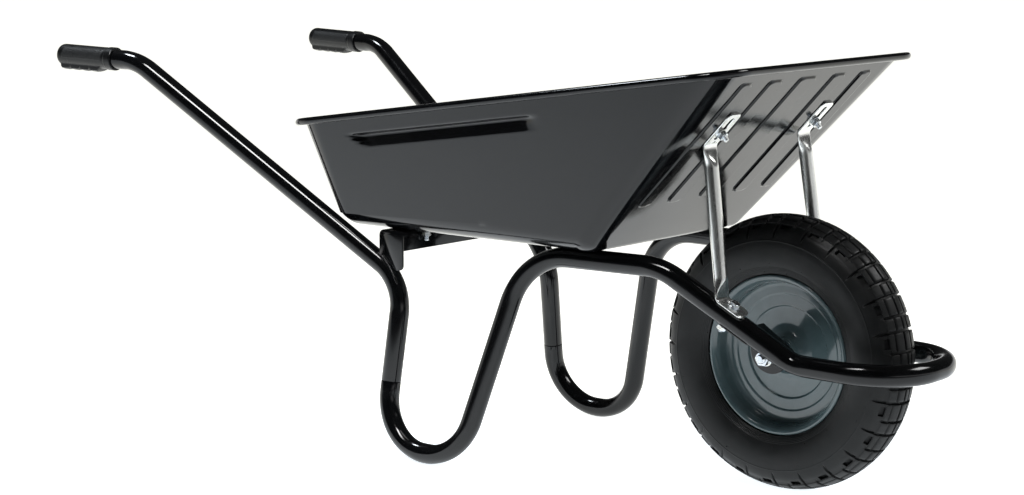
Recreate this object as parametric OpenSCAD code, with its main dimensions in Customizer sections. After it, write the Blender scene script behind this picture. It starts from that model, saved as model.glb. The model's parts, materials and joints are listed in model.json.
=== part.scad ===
// Builder's wheelbarrow: bent tube frame, pressed steel tray, disc wheel with a
// pneumatic tyre. Frame: +X towards the nose, +Y to the user's left, +Z up. The origin is on
// the ground, midway along the length. Lengths are in millimetres.

/* [Frame tube] */
// Outer diameter of the frame tube
tube_d = 30; // [28:0.5:32]
// Wall thickness of the frame tube
tube_wall = 1.5; // [1.2:0.1:2]
// Distance from the axle forward to the middle of the nose loop
nose_reach = 235; // [225:1:250]
// Distance from the axle back to the ends of the grips
grip_reach = 1194; // [1150:1:1230]
// Height of the grips' centre lines at their ends
grip_height = 578; // [560:1:600]
// Half of the distance between the grip ends
grip_half_width = 288; // [275:1:300]
// Half of the distance between the feet
foot_half_width = 210; // [200:1:215]
// Height of the two level runs that carry the tray
run_height = 323.5; // [318:0.5:328]

/* [Tray] */
// Length of the tray's floor before its edges are rounded
floor_length = 473; // [460:1:480]
// Half width of the tray's floor before its edges are rounded
floor_half_width = 195; // [190:1:198]
// Half width of the tray's mouth, inside the rim
mouth_half_width = 248; // [240:1:252]
// Height of the tray's rim above the axle, over the ground
rim_height = 604.3; // [595:0.1:615]
// Slope of the rim, up towards the front, in degrees
rim_slope = 8.12; // [6:0.01:9]
// Thickness of the tray's sheet
sheet = 1.2; // [1:0.1:2]
// Height of the ribs pressed out of the front panel
rib_height = 3; // [2:0.1:4]

/* [Wheel] */
// Radius of the tyre at the middle of its tread
tyre_r = 197; // [194:0.5:198]
// Half of the tyre's greatest width
tyre_half_width = 45; // [42:0.5:46]
// Radius of the rim's flange
flange_r = 114; // [112:0.5:115]
// Diameter of the axle rod
axle_d = 12; // [10:0.5:12]
// Number of repeats of the tread pattern
tread_repeats = 24; // [18:1:26]

/* [Struts] */
// Outer diameter of the tray's struts
strut_d = 20; // [18:0.5:21]
// Half of the distance between the struts' top plates
strut_half_width = 119; // [117:1:121]

/* [Hidden] */
$fn = 64;

black_paint = [0.03, 0.03, 0.035];
zinc = [0.75, 0.77, 0.8];
rubber = [0.06, 0.06, 0.065];
rim_grey = [0.25, 0.3, 0.32];

// Length from the axle back to the origin, half way between the nose and the grip ends
origin_x = (grip_reach - nose_reach - tube_d / 2) / 2;

// ---- vectors and paths ----
function lerp(a, b, t) = a + (b - a) * t;
function unit(v) = v / norm(v);
function turn(a, b, c) = let(u = unit(b - a), w = unit(c - b)) acos(max(-1, min(1, u * w)));
function tangent(p, i) = (i == 0 || i == len(p) - 1) ? 0
    : p[i][1] * tan(turn(p[i - 1][0], p[i][0], p[i + 1][0]) / 2);
function corners(p) = [for (v = p) v[0]];
function mirrored(p) = [for (i = [len(p) - 1:-1:0]) [[p[i][0][0], -p[i][0][1], p[i][0][2]], p[i][1]]];

// Puts the children's +Z along w and +X along u, at p
module place(p, u, w) {
    v = cross(w, u);
    multmatrix([
        [u[0], v[0], w[0], p[0]],
        [u[1], v[1], w[1], p[1]],
        [u[2], v[2], w[2], p[2]],
        [0, 0, 0, 1]
    ]) children();
}

// Puts the children's +Z along w at p, with any +X
module point_along(p, w) {
    z = unit(w);
    x = unit(cross(abs(z[2]) < 0.9 ? [0, 0, 1] : [1, 0, 0], z));
    place(p, x, z) children();
}

module ring_section(r, wall) {
    difference() {
        circle(r = r);
        if (wall > 0) circle(r = r - wall);
    }
}

// A tube along a path of [corner, bend radius]. Bends are drawn in a little, as a bender leaves
// them, and each straight reaches bend_overlap into its bends. A wall of 0 makes it solid.
bend_overlap = 0.6;
bend_draw_in = 0.25;
module bent_tube(p, r, wall) {
    q = corners(p);
    for (i = [0:len(p) - 2]) {
        d = unit(q[i + 1] - q[i]);
        from = tangent(p, i) - (i == 0 ? 0 : bend_overlap);
        to = norm(q[i + 1] - q[i]) - tangent(p, i + 1) + (i == len(p) - 2 ? 0 : bend_overlap);
        point_along(q[i] + d * from, d) linear_extrude(to - from) ring_section(r, wall);
    }
    for (i = [1:len(p) - 2]) {
        d0 = unit(q[i] - q[i - 1]);
        d1 = unit(q[i + 1] - q[i]);
        a = turn(q[i - 1], q[i], q[i + 1]);
        n = unit(cross(d0, d1));
        start = q[i] - d0 * tangent(p, i);
        inward = cross(n, d0);
        place(start + inward * p[i][1], -inward, n)
            rotate_extrude(angle = a) translate([p[i][1], 0]) ring_section(r - bend_draw_in, wall);
    }
}

// ---- frame layout, left half: [corner, bend radius], with x from the axle ----
tube_r = tube_d / 2;
grip_end = [-grip_reach, grip_half_width, grip_height];
handle_bend = [-1031, 276.5, 574.2];
shoulder = [-574, 174, 261.7];
rear_foot = [-583.3, foot_half_width, tube_r];
front_foot = [-434.7, foot_half_width, tube_r];
run_rear = [-350, 158.5, run_height];
run_front = [-119, 146, run_height];
dip = [70, 99, 201.7];
nose = [nose_reach, 97.5, 198.4];
handle_bend_r = 81;
shoulder_bend_r = 84.5;
foot_bend_r = 80;
run_rear_bend_r = 100;
run_front_bend_r = 83.5;
dip_bend_r = 71;
nose_bend_r = 90;

// The legs' sleeve joints: the lower tube's reduced neck goes up inside the handle tube
joint_height = 112;
neck_length = 45;
neck_gap = 0.05;
leg_dir = unit(shoulder - rear_foot);
joint = rear_foot + leg_dir * ((joint_height - rear_foot[2]) / leg_dir[2]);

half_lower = [
    [joint, 0], [rear_foot, foot_bend_r], [front_foot, foot_bend_r], [run_rear, run_rear_bend_r],
    [run_front, run_front_bend_r], [dip, dip_bend_r], [nose, nose_bend_r]
];
lower_path = concat(half_lower, mirrored(half_lower));
grip_dir = unit(grip_end - handle_bend);
handle_tip = grip_end - grip_dir * 5;
handle_path = [[handle_tip, 0], [handle_bend, handle_bend_r], [shoulder, shoulder_bend_r], [joint, 0]];

// ---- slope of the front tubes, where the struts and the axle brackets go ----
slope_dir = unit(dip - run_front);
slope_up = unit(cross(slope_dir, [0, 1, 0]) * (cross(slope_dir, [0, 1, 0])[2] > 0 ? 1 : -1));
function on_slope(x) = run_front + slope_dir * ((x - run_front[0]) / slope_dir[0]);

// ---- front panel and strut layout ----
floor_z = run_height + tube_r + 0.1;
floor_front = -214;
floor_rear = floor_front - floor_length;
mouth_front = 47.5;
mouth_rear = -730;
function rim_z(x) = rim_height + tan(rim_slope) * x;
panel_foot = [floor_front, 0, floor_z];
panel_head = [mouth_front, 0, rim_z(mouth_front)];
panel_dir = unit(panel_head - panel_foot);
panel_out = [panel_dir[2], 0, -panel_dir[0]];
panel_length = norm(panel_head - panel_foot);
panel_skin = 0.95;
strut_wall = 1.5;
plate_t = 2 * strut_wall;
plate_w = 32;
strut_bend_s = 222;
plate_length = 62;
slot_from = 15;
slot_to = 50;
slot_w = 9;
strut_bolt_s = 25;
foot_bolt_x = -22.5;
foot_from = -19;
foot_to = 21;
bolt_d = 8;
bolt_clearance = 0.4;
strut_neck = 26;
vent_up = 12;
vent_r = 2.5;

function panel_point(s, off) = panel_foot + panel_dir * s + panel_out * off;
strut_plate_off = panel_skin + plate_t / 2 + 0.1;
strut_top = panel_point(strut_bend_s, strut_plate_off) + [0, strut_half_width, 0];
foot_bolt_mid = on_slope(foot_bolt_x);
foot_plate_off = tube_r + plate_t / 2 + 0.05;
strut_bottom = foot_bolt_mid + slope_dir * foot_from + slope_up * foot_plate_off;
top_bolt_mid = panel_point(strut_bend_s + strut_bolt_s, 0) + [0, strut_half_width, 0];

// Places the children on the left and, mirrored, on the right
module both_sides() {
    children();
    mirror([0, 1, 0]) children();
}

// Everything is drawn with x from the axle and then moved to the origin
module in_frame() {
    translate([origin_x, 0, 0]) children();
}

// ---- fasteners, drawn along +Z with the face they bear on at z = 0 ----
module hex(af, h) {
    cylinder(h = h, r = af / sqrt(3), $fn = 6);
}
module hex_bolt(shank) {
    hex(13, 5.3);
    translate([0, 0, -shank]) cylinder(h = shank + 1, r = bolt_d / 2);
}
module cup_bolt(shank) {
    intersection() {
        translate([0, 0, -7]) sphere(r = 12);
        cylinder(h = 6, r = 10);
    }
    translate([0, 0, -shank]) cylinder(h = shank + 1, r = bolt_d / 2);
}
module nut(af, h, bore) {
    difference() {
        hex(af, h);
        translate([0, 0, -1]) cylinder(h = h + 2, r = bore / 2);
    }
}
module washer(r, t, bore) {
    difference() {
        cylinder(h = t, r = r);
        translate([0, 0, -1]) cylinder(h = t + 2, r = bore / 2);
    }
}

// ---- frame tubes ----
module lower_frame_tube() {
    neck_r = tube_r - tube_wall - neck_gap;
    color(black_paint) in_frame() difference() {
        union() {
            bent_tube(lower_path, tube_r, tube_wall);
            both_sides() point_along(joint - leg_dir * 3, leg_dir) difference() {
                cylinder(h = 3 + neck_length, r = neck_r);
                translate([0, 0, -1]) cylinder(h = 5 + neck_length, r = neck_r - tube_wall);
            }
            both_sides() point_along(joint - leg_dir * 3, leg_dir) difference() {
                cylinder(h = 3, r = tube_r - 0.5);
                translate([0, 0, -1]) cylinder(h = 5, r = neck_r - 0.5);
            }
        }
        both_sides() point_along(foot_bolt_mid - slope_up * 30, slope_up)
            cylinder(h = 60, r = bolt_d / 2 + bolt_clearance);
    }
}

module handle_tube_left() {
    color(black_paint) in_frame() bent_tube(handle_path, tube_r, tube_wall);
}

module handle_tube_right() {
    mirror([0, 1, 0]) handle_tube_left();
}

// ---- grips ----
grip_length = 118;
grip_r = 17.25;
grip_end_round = 9;
collar_length = 14;
bump_r = 10.5;
bump_pitch = 20.5;
bump_drop = 12.2;
module grip_left() {
    bore = tube_r + 0.05;
    along = -grip_dir;
    down = unit(cross(cross(along, [0, 0, 1]), along) * -1);
    color(rubber) in_frame() place(grip_end, down, along) difference() {
        union() {
            rotate_extrude() polygon(concat(
                [[0, 0], [grip_r - grip_end_round, 0]],
                [for (a = [-90:15:0]) [
                    grip_r - grip_end_round + grip_end_round * cos(a),
                    grip_end_round + grip_end_round * sin(a)
                ]],
                [
                    [grip_r, grip_length - collar_length],
                    [grip_r + 1, grip_length - collar_length + 2],
                    [grip_r + 1, grip_length - 1],
                    [grip_r, grip_length],
                    [0, grip_length]
                ]
            ));
            intersection() {
                union() {
                    for (i = [0:3])
                        translate([bump_drop, 0, 18 + i * bump_pitch]) rotate([90, 0, 0])
                            cylinder(h = 24, r = bump_r, center = true);
                }
                cylinder(h = grip_length, r = grip_r + 5.5);
                translate([0, -30, 4]) cube([40, 60, grip_length]);
            }
        }
        translate([0, 0, 5]) cylinder(h = grip_length, r = bore);
    }
}

module grip_right() {
    mirror([0, 1, 0]) grip_left();
}

// ---- rear crossmember: an open channel whose end plates reach down on to the handle tubes ----
channel_rear = -609;
channel_front = -562;
channel_depth = 30;
channel_half = 188;
channel_t = 3;
channel_round = 9;
end_plate_z = 281;
tab_length = 22;
tab_half = 11;
floor_bolt_x = -552;
floor_bolt_y = 146;
module channel_outline(inset, low_z) {
    r = channel_round - inset;
    x0 = channel_rear + inset;
    x1 = channel_front - inset;
    z1 = floor_z - 0.1 - inset;
    translate([x0 + r, z1 - r]) circle(r = r);
    translate([x1 - r, z1 - r]) circle(r = r);
    translate([x0 + r, z1 - r]) square([x1 - x0 - 2 * r, r]);
    translate([x0, low_z - inset]) square([x1 - x0, z1 - r - low_z + inset]);
}
module rear_crossmember() {
    low_z = floor_z - channel_depth;
    color(black_paint) in_frame() difference() {
        union() {
            translate([0, channel_half, 0]) rotate([90, 0, 0]) linear_extrude(2 * channel_half) difference() {
                channel_outline(0, low_z);
                channel_outline(channel_t, low_z - 10);
            }
            both_sides() translate([0, channel_half, 0]) rotate([90, 0, 0]) linear_extrude(channel_t)
                channel_outline(0, end_plate_z);
            both_sides() translate([channel_front - 9, floor_bolt_y - tab_half, floor_z - 0.1 - channel_t])
                cube([tab_length + 9, 2 * tab_half, channel_t]);
        }
        both_sides() translate([floor_bolt_x, floor_bolt_y, floor_z - 20])
            cylinder(h = 40, r = bolt_d / 2 + bolt_clearance);
        both_sides() bent_tube(handle_path, tube_r + 0.05, 0);
    }
}

// ---- axle brackets: half-moon plates carried by a flange under the sloping tubes ----
bracket_y = 56;
bracket_t = 3;
bracket_reach = 46;
bracket_flange_z = 36;
bracket_half = 30;
moon_r = 33;
moon_drop = 20;
module axle_bracket_left() {
    pitch = atan2(-slope_dir[2], slope_dir[0]);
    color(black_paint) in_frame() difference() {
        translate([0, 0, tyre_r]) rotate([0, pitch, 0]) union() {
            intersection() {
                translate([0, bracket_y, moon_r - moon_drop]) rotate([-90, 0, 0])
                    cylinder(h = bracket_t, r = moon_r);
                translate([-bracket_half, bracket_y, -moon_drop])
                    cube([2 * bracket_half, bracket_t, moon_drop + bracket_flange_z + bracket_t]);
            }
            translate([-bracket_half, bracket_y, moon_r - moon_drop])
                cube([2 * bracket_half, bracket_t, bracket_flange_z + bracket_t - moon_r + moon_drop]);
            translate([-bracket_half, bracket_y, bracket_flange_z])
                cube([2 * bracket_half, bracket_reach + 14, bracket_t]);
        }
        translate([0, bracket_y - 5, tyre_r]) rotate([-90, 0, 0]) cylinder(h = 13, r = axle_d / 2 + 0.2);
        bent_tube([for (i = [3:6]) half_lower[i]], tube_r + 0.05, 0);
    }
}

module axle_bracket_right() {
    mirror([0, 1, 0]) axle_bracket_left();
}

// ---- tray: one pressed sheet, drawn as a skin through rings ----
corner_low = 28;
corner_high = 50;
corner_steps = 5;
edge_front = 8;
edge_side = 32;
rib_edges = [18.5, 22.5, 64, 68, 95, 99, 138, 142, 164, 168];
rib_spans = [[0, 18.5, 22.5], [81.5, 13.5, 17.5], [153, 11, 15]];
rib_from = 96;
rib_ramp = 6;
rib_to = 347;
bead_r = 5.5;
bead_out = 9;
lip_round = 3;

function corner_r(t) = lerp(corner_low, corner_high, t);
function half_at(t) = lerp(floor_half_width, mouth_half_width, t);
function front_at(t) = lerp(floor_front, mouth_front, t);
function rear_at(t) = lerp(floor_rear, mouth_rear, t);
front_ys = concat([0], rib_edges, [1000]);
function front_y(i, t) = let(k = abs(i), top = half_at(t) - corner_r(t), n = len(front_ys) - 1)
    sign(i) * min(front_ys[k], top - (n - k) * 0.4);

// [x, y, angle of the outward side] of each point round the tray at level t, moved out by o
function outline(t, o) = let(
        n = len(front_ys) - 1,
        r = corner_r(t) + o,
        xf = front_at(t) - corner_r(t),
        xr = rear_at(t) + corner_r(t),
        yc = half_at(t) - corner_r(t),
        step = 90 / corner_steps
    ) concat(
        [for (i = [-n:n]) [front_at(t) + o, front_y(i, t), 0]],
        [for (a = [step:step:90]) [xf + r * cos(a), yc + r * sin(a), a]],
        [for (k = [1:2]) [lerp(xf, xr, k / 3), half_at(t) + o, 90]],
        [for (a = [90:step:180]) [xr + r * cos(a), yc + r * sin(a), a]],
        [[rear_at(t) - o, 0, 180]],
        [for (a = [180:step:270]) [xr + r * cos(a), -yc + r * sin(a), a]],
        [for (k = [1:2]) [lerp(xr, xf, k / 3), -half_at(t) - o, 270]],
        [for (a = [270:step:359 - step]) [xf + r * cos(a), -yc + r * sin(a), a]]
    );

function rib_y(y) = max([for (g = rib_spans) let(d = abs(abs(y) - g[0]))
    d <= g[1] + 0.01 ? 1 : d >= g[2] ? 0 : (g[2] - d) / (g[2] - g[1])]);
function rib_s(s) = max(0, min(1, (s - rib_from) / rib_ramp, (rib_to - s) / rib_ramp));
function rib(p, t) = p[2] == 0 ? rib_height * rib_y(p[1]) * rib_s(t * panel_length) : 0;

function wall_ring(t, o, z0) = let(p = outline(t, o), q = outline(1, 0))
    [for (k = [0:len(p) - 1]) [p[k][0], p[k][1], lerp(z0, rim_z(q[k][0]), t)]
        + panel_out * rib(p[k], t)];
// The rounded edge between floor and walls, as an arc in each point's own upright plane
function edge_ring(s, o, z0) = let(
        p = outline(0, o), in = outline(0, o - 1), b = wall_ring(0, o, z0), top = wall_ring(0.5, o, z0)
    ) [for (k = [0:len(p) - 1]) let(
        side = abs(p[k][2] > 180 ? 360 - p[k][2] : p[k][2]),
        reach = lerp(edge_front, edge_side, min(1, side / 90)),
        a = b[k] + reach * unit([in[k][0] - p[k][0], in[k][1] - p[k][1], 0]),
        c = b[k] + reach * unit(top[k] - b[k]),
        w = cos(turn(a, b[k], c) / 2),
        m = 2 * w * s * (1 - s)
    ) (a * (1 - s) * (1 - s) + b[k] * m + c * s * s) / ((1 - s) * (1 - s) + m + s * s)];
function lip_ring(o, dz) = [for (p = outline(1, o)) [p[0], p[1], rim_z(p[0]) + dz]];

wall_levels = concat(
    [rib_from, rib_from + rib_ramp, 160, 220, 280, rib_to - rib_ramp, rib_to]
        / panel_length,
    [1 - lip_round / panel_length]
);
edge_steps = [0, 0.25, 0.5, 0.75, 1];
bead_angles = [90:-30:-150];
skin_low = 0.7;
skin_high = 1.5;
tray_rings = concat(
    [for (s = edge_steps) edge_ring(s, 0, floor_z + sheet)],
    [for (t = wall_levels) wall_ring(t, 0, floor_z + sheet)],
    [lip_ring(lip_round, 0)],
    [for (a = bead_angles) lip_ring(bead_out + bead_r * cos(a), bead_r * (sin(a) - 1))],
    [for (a = [-150:30:90]) lip_ring(
        bead_out + (bead_r - sheet) * cos(a), (bead_r - sheet) * sin(a) - bead_r
    )],
    [lip_ring(lip_round + 1.5, -sheet)],
    [for (k = [len(wall_levels) - 1:-1:0]) let(t = wall_levels[k])
        wall_ring(t, lerp(skin_low, skin_high, t), floor_z)],
    [for (k = [len(edge_steps) - 1:-1:0]) edge_ring(edge_steps[k], skin_low, floor_z)]
);

module skin(rings) {
    n = len(rings[0]);
    last = len(rings) - 1;
    polyhedron(
        points = [for (r = rings) for (p = r) p],
        faces = concat(
            [[for (k = [n - 1:-1:0]) k]],
            [for (j = [0:last - 1]) for (k = [0:n - 1]) let(a = j * n + k, b = j * n + (k + 1) % n)
                each [[a, b, b + n], [a, b + n, a + n]]],
            [[for (k = [0:n - 1]) last * n + k]]
        ),
        convexity = 6
    );
}

module tray() {
    color(black_paint) in_frame() resize([0, 0, 0]) difference() {
        skin(tray_rings);
        both_sides() translate([floor_bolt_x, floor_bolt_y, floor_z - 5])
            cylinder(h = 12, r = bolt_d / 2 + bolt_clearance);
        both_sides() point_along(top_bolt_mid - panel_out * 6, panel_out)
            cylinder(h = 14, r = bolt_d / 2 + bolt_clearance);
    }
}

module tray_floor_bolts() {
    color(zinc) in_frame() both_sides() translate([floor_bolt_x, floor_bolt_y, floor_z + sheet])
        cup_bolt(18);
}

module tray_floor_nuts() {
    color(zinc) in_frame() both_sides()
        translate([floor_bolt_x, floor_bolt_y, floor_z - 0.1 - channel_t]) rotate([180, 0, 0])
            nut(13, 6.5, bolt_d + 0.1);
}

// ---- tray struts: tubes with flattened, bent and punched ends ----
// The tube's end, pressed from a circle at z = strut_neck down to a flat at z = 0
module pressed_end() {
    top = strut_d / 2 - 0.2;
    intersection() {
        rotate([90, 0, 0]) linear_extrude(2 * plate_w, center = true)
            polygon([[-plate_t / 2, 0], [plate_t / 2, 0], [top, strut_neck], [-top, strut_neck]]);
        rotate([90, 0, 90]) linear_extrude(2 * plate_w, center = true)
            polygon([[-plate_w / 2, 0], [plate_w / 2, 0], [top, strut_neck], [-top, strut_neck]]);
        cylinder(h = strut_neck, r1 = plate_w / 2 + 0.4, r2 = top);
    }
}
module strut_plate(length) {
    translate([0, 0, -plate_t / 2]) linear_extrude(plate_t) {
        translate([-1, -plate_w / 2]) square([length - plate_w / 2 + 1, plate_w]);
        translate([length - plate_w / 2, 0]) circle(r = plate_w / 2);
    }
}
module strut_left() {
    axis = unit(strut_bottom - strut_top);
    across = unit(cross([0, 1, 0], axis));
    side = cross(axis, across);
    run = norm(strut_bottom - strut_top) - 2 * strut_neck + 2;
    color(zinc) in_frame() difference() {
        union() {
            place(strut_top + axis * (strut_neck - 1), across, axis) difference() {
                cylinder(h = run, r = strut_d / 2);
                translate([0, 0, 4]) cylinder(h = run - 8, r = strut_d / 2 - strut_wall);
            }
            place(strut_top, across, axis) pressed_end();
            place(strut_bottom, -across, -axis) pressed_end();
            place(strut_top, panel_dir, panel_out) strut_plate(plate_length);
            place(strut_bottom, slope_dir, slope_up) strut_plate(foot_to - foot_from);
        }
        place(strut_top, panel_dir, panel_out) translate([0, 0, -plate_t]) linear_extrude(2 * plate_t) {
            translate([slot_from, -slot_w / 2]) square([slot_to - slot_from, slot_w]);
            translate([slot_from, 0]) circle(r = slot_w / 2);
            translate([slot_to, 0]) circle(r = slot_w / 2);
        }
        place(strut_bottom, slope_dir, slope_up) translate([-foot_from, 0, -plate_t])
            cylinder(h = 2 * plate_t, r = bolt_d / 2 + bolt_clearance);
        place(strut_bottom - axis * (strut_neck + vent_up), axis, -across)
            cylinder(h = strut_d, r = vent_r);
    }
}

module strut_right() {
    mirror([0, 1, 0]) strut_left();
}

strut_face = strut_plate_off + plate_t / 2;
module strut_top_bolts() {
    color(zinc) in_frame() both_sides() point_along(top_bolt_mid - panel_out * 0.35, -panel_out)
        cup_bolt(strut_face + 15);
}
module strut_top_washers() {
    color(zinc) in_frame() both_sides() point_along(top_bolt_mid + panel_out * strut_face, panel_out)
        washer(8.5, 1.6, bolt_d + 0.4);
}
module strut_top_nuts() {
    color(zinc) in_frame() both_sides()
        point_along(top_bolt_mid + panel_out * (strut_face + 1.6), panel_out) nut(13, 6.5, bolt_d + 0.1);
}

foot_face = foot_plate_off + plate_t / 2;
module strut_foot_bolts() {
    color(zinc) in_frame() both_sides()
        point_along(foot_bolt_mid + slope_up * (foot_face + 1.6), slope_up)
            hex_bolt(foot_face + tube_r + 1.6 + 10);
}
module strut_foot_washers() {
    color(zinc) in_frame() both_sides() point_along(foot_bolt_mid + slope_up * foot_face, slope_up)
        washer(8.5, 1.6, bolt_d + 0.4);
}
module strut_foot_nuts() {
    color(zinc) in_frame() both_sides()
        point_along(foot_bolt_mid - slope_up * (tube_r + 0.05), -slope_up) nut(13, 6.5, bolt_d + 0.1);
}

// ---- axle, from the middle outwards, with the wheel's parts drawn about +Z ----
module on_axle() {
    in_frame() translate([0, 0, tyre_r]) rotate([-90, 0, 0]) children();
}
module both_ends() {
    children();
    mirror([0, 0, 1]) children();
}
bearing_y = 35;
bearing_w = 10;
inner_ring_r = 9.2;
outer_ring_r = 16;
ball_circle_r = 11.1;
ball_r = 2.9;
race_gap = 0.12;
axle_half = 77;
hub_wall = 3;
spacer_r = 9;

module axle_rod() {
    color(zinc) on_axle() cylinder(h = 2 * axle_half, r = axle_d / 2, center = true);
}
module axle_washers() {
    color(zinc) on_axle() both_ends() translate([0, 0, bracket_y + bracket_t])
        washer(12, 2.5, axle_d + 0.4);
}
module axle_nuts() {
    color(zinc) on_axle() both_ends() translate([0, 0, bracket_y + bracket_t + 2.5])
        nut(19, 10, axle_d + 0.1);
}
module axle_outer_spacers() {
    color(zinc) on_axle() both_ends() translate([0, 0, bearing_y + bearing_w]) difference() {
        cylinder(h = bracket_y - bearing_y - bearing_w, r = spacer_r);
        translate([0, 0, -1]) cylinder(h = 20, r = axle_d / 2 + 0.1);
    }
}
module axle_inner_sleeve() {
    color(zinc) on_axle() difference() {
        cylinder(h = 2 * bearing_y, r = spacer_r - 0.5, center = true);
        cylinder(h = 2 * bearing_y + 2, r = axle_d / 2 + 0.1, center = true);
    }
}
module race_groove() {
    translate([0, 0, bearing_w / 2]) rotate_extrude() translate([ball_circle_r, 0])
        circle(r = ball_r + race_gap);
}
module bearing_inner_rings() {
    color(zinc) on_axle() both_ends() translate([0, 0, bearing_y]) difference() {
        cylinder(h = bearing_w, r = inner_ring_r);
        translate([0, 0, -1]) cylinder(h = bearing_w + 2, r = axle_d / 2 + 0.02);
        race_groove();
    }
}
module bearing_outer_rings() {
    color(zinc) on_axle() both_ends() translate([0, 0, bearing_y]) difference() {
        cylinder(h = bearing_w, r = outer_ring_r);
        translate([0, 0, -1]) cylinder(h = bearing_w + 2, r = outer_ring_r - 3);
        race_groove();
    }
}
module bearing_balls() {
    color(zinc) on_axle() both_ends() for (a = [0:51.42857:359])
        rotate([0, 0, a]) translate([ball_circle_r, 0, bearing_y + bearing_w / 2]) sphere(r = ball_r);
}
module bearing_shields() {
    color(zinc) on_axle() both_ends() for (z = [bearing_y + 0.2, bearing_y + bearing_w - 0.7])
        translate([0, 0, z]) difference() {
            cylinder(h = 0.5, r = outer_ring_r - 3);
            translate([0, 0, -1]) cylinder(h = 3, r = inner_ring_r + 0.3);
        }
}
module hub_tube() {
    color(rim_grey) on_axle() difference() {
        cylinder(h = 2 * (bearing_y + bearing_w) + 3, r = outer_ring_r + hub_wall, center = true);
        cylinder(h = 200, r = outer_ring_r, center = true);
    }
}

// ---- rim: two pressed halves that meet face to face between the steps round the hub ----
hub_r = outer_ring_r + hub_wall;
// The sheet's outer face from the flange to the hub, as [radius, distance from the wheel's middle]
rim_face = [
    [flange_r, 30], [flange_r, 32.5], [flange_r - 1.5, 34], [flange_r - 4, 34], [flange_r - 7.5, 32],
    [flange_r - 10, 28.5], [102, 24], [101, 10], [98.5, 6.5], [94, 6], [84.5, 6], [82.5, 4.5],
    [67, 4.5], [65, 2], [40, 2], [30, 5], [24, 12], [22.5, 18], [hub_r + 0.02, 18]
];
rim_back = [
    [hub_r + 0.02, 16], [21, 16], [22.5, 10.5], [29, 3.2], [39.5, 0.05], [66, 0.05], [68, 2.5],
    [83.5, 2.5], [85.5, 4], [94, 4], [99.5, 4.3], [103, 9], [104, 23.5], [105.5, 27.2],
    [flange_r - 5.5, 29.6], [flange_r - 2.5, 31]
];
module rim_half(side) {
    color(rim_grey) on_axle() mirror([0, 0, side]) difference() {
        rotate_extrude() polygon(concat(rim_face, rim_back));
        if (side == 0) valve_axis() cylinder(h = 60, r = valve_r + 0.3, center = true);
    }
}
module rim_half_left() {
    rim_half(0);
}
module rim_half_right() {
    rim_half(1);
}

// ---- tyre and tube ----
bead_seat_r = 104.6;
shoulder_r = 187.5;
shoulder_y = 29.5;
tread_depth = 5;
groove_mid = 7;
groove_half = 1.7;
wide_block_deg = 7.3;
narrow_block_deg = 5;
function crown_r(y) = tyre_r - (tyre_r - shoulder_r) * pow(y / shoulder_y, 2);
// Half of the tyre's outside from the tread's middle to the bead, as [radius, y]
tyre_outside = concat(
    [for (y = [0, groove_mid - groove_half]) [crown_r(y), y]],
    [for (y = [groove_mid - groove_half, groove_mid + groove_half]) [crown_r(y) - tread_depth, y]],
    [for (y = [groove_mid + groove_half, 14, 20, 25, shoulder_y]) [crown_r(y), y]],
    [[178, 37.5], [168, 42.5], [158, tyre_half_width], [148, tyre_half_width], [138, 43.5]],
    [[128, 40.5], [120, 36.5], [115.5, 33.5], [115.3, 29.3], [109, 28.4], [106.2, 26.4], [bead_seat_r, 23]]
);
tyre_inside = [
    [bead_seat_r, 17], [112, 19.5], [120, 27], [130, 34.5], [142, 39.5], [155, 40.5], [166, 37.5],
    [175, 31.5], [182, 22.5], [186, 12], [187.5, 0]
];
function mirrored_profile(p) = [for (i = [len(p) - 1:-1:0]) if (p[i][1] > 0) [p[i][0], -p[i][1]]];
module tyre() {
    cut = 360 / tread_repeats / 2 - (wide_block_deg + narrow_block_deg) / 2;
    cut_w = cut * PI / 180 * tyre_r;
    color(rubber) on_axle() difference() {
        rotate_extrude() polygon(concat(
            mirrored_profile(tyre_outside), tyre_outside, tyre_inside, mirrored_profile(tyre_inside)
        ));
        for (i = [0:tread_repeats - 1], a = [0, wide_block_deg + cut])
            rotate([0, 0, i * 360 / tread_repeats + a])
                translate([tyre_r - tread_depth, -cut_w / 2, -tyre_half_width])
                    cube([3 * tread_depth, cut_w, 2 * tyre_half_width]);
    }
}
module inner_tube() {
    gap = 0.4;
    color(rubber) on_axle() rotate_extrude() difference() {
        polygon(tube_outline(gap));
        polygon(tube_outline(gap + 2));
    }
}
function tube_outline(g) = let(half = [
    [107 + g, 0], [107 + g, 15], [114 + g, 19.2 - g], [121, 26 - g], [130.5, 33 - g], [142, 38.2 - g],
    [155, 39.2 - g], [165, 36.2 - g], [173.5, 30.5 - g], [180.5 - g / 2, 21.5 - g / 2],
    [184.5 - g, 11.5], [186.5 - g, 0]
]) concat(half, mirrored_profile(half));

// ---- valve: through the left rim half's well ----
valve_r = 4;
valve_turn = 125;
valve_lean = 50;
valve_from = [103, 11];
module valve_axis() {
    rotate([0, 0, valve_turn]) translate([valve_from[0], 0, valve_from[1]])
        rotate([0, -90 + valve_lean, 0]) children();
}
module valve_stem() {
    color(rubber) on_axle() valve_axis() {
        translate([0, 0, -4]) cylinder(h = 30, r = valve_r);
        translate([0, 0, 26]) cylinder(h = 8, r = 2.6);
    }
}
module valve_cap() {
    color(rubber) on_axle() valve_axis() translate([0, 0, 27]) difference() {
        cylinder(h = 9, r = 4.2);
        translate([0, 0, -1]) cylinder(h = 8.2, r = 2.65);
    }
}

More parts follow.
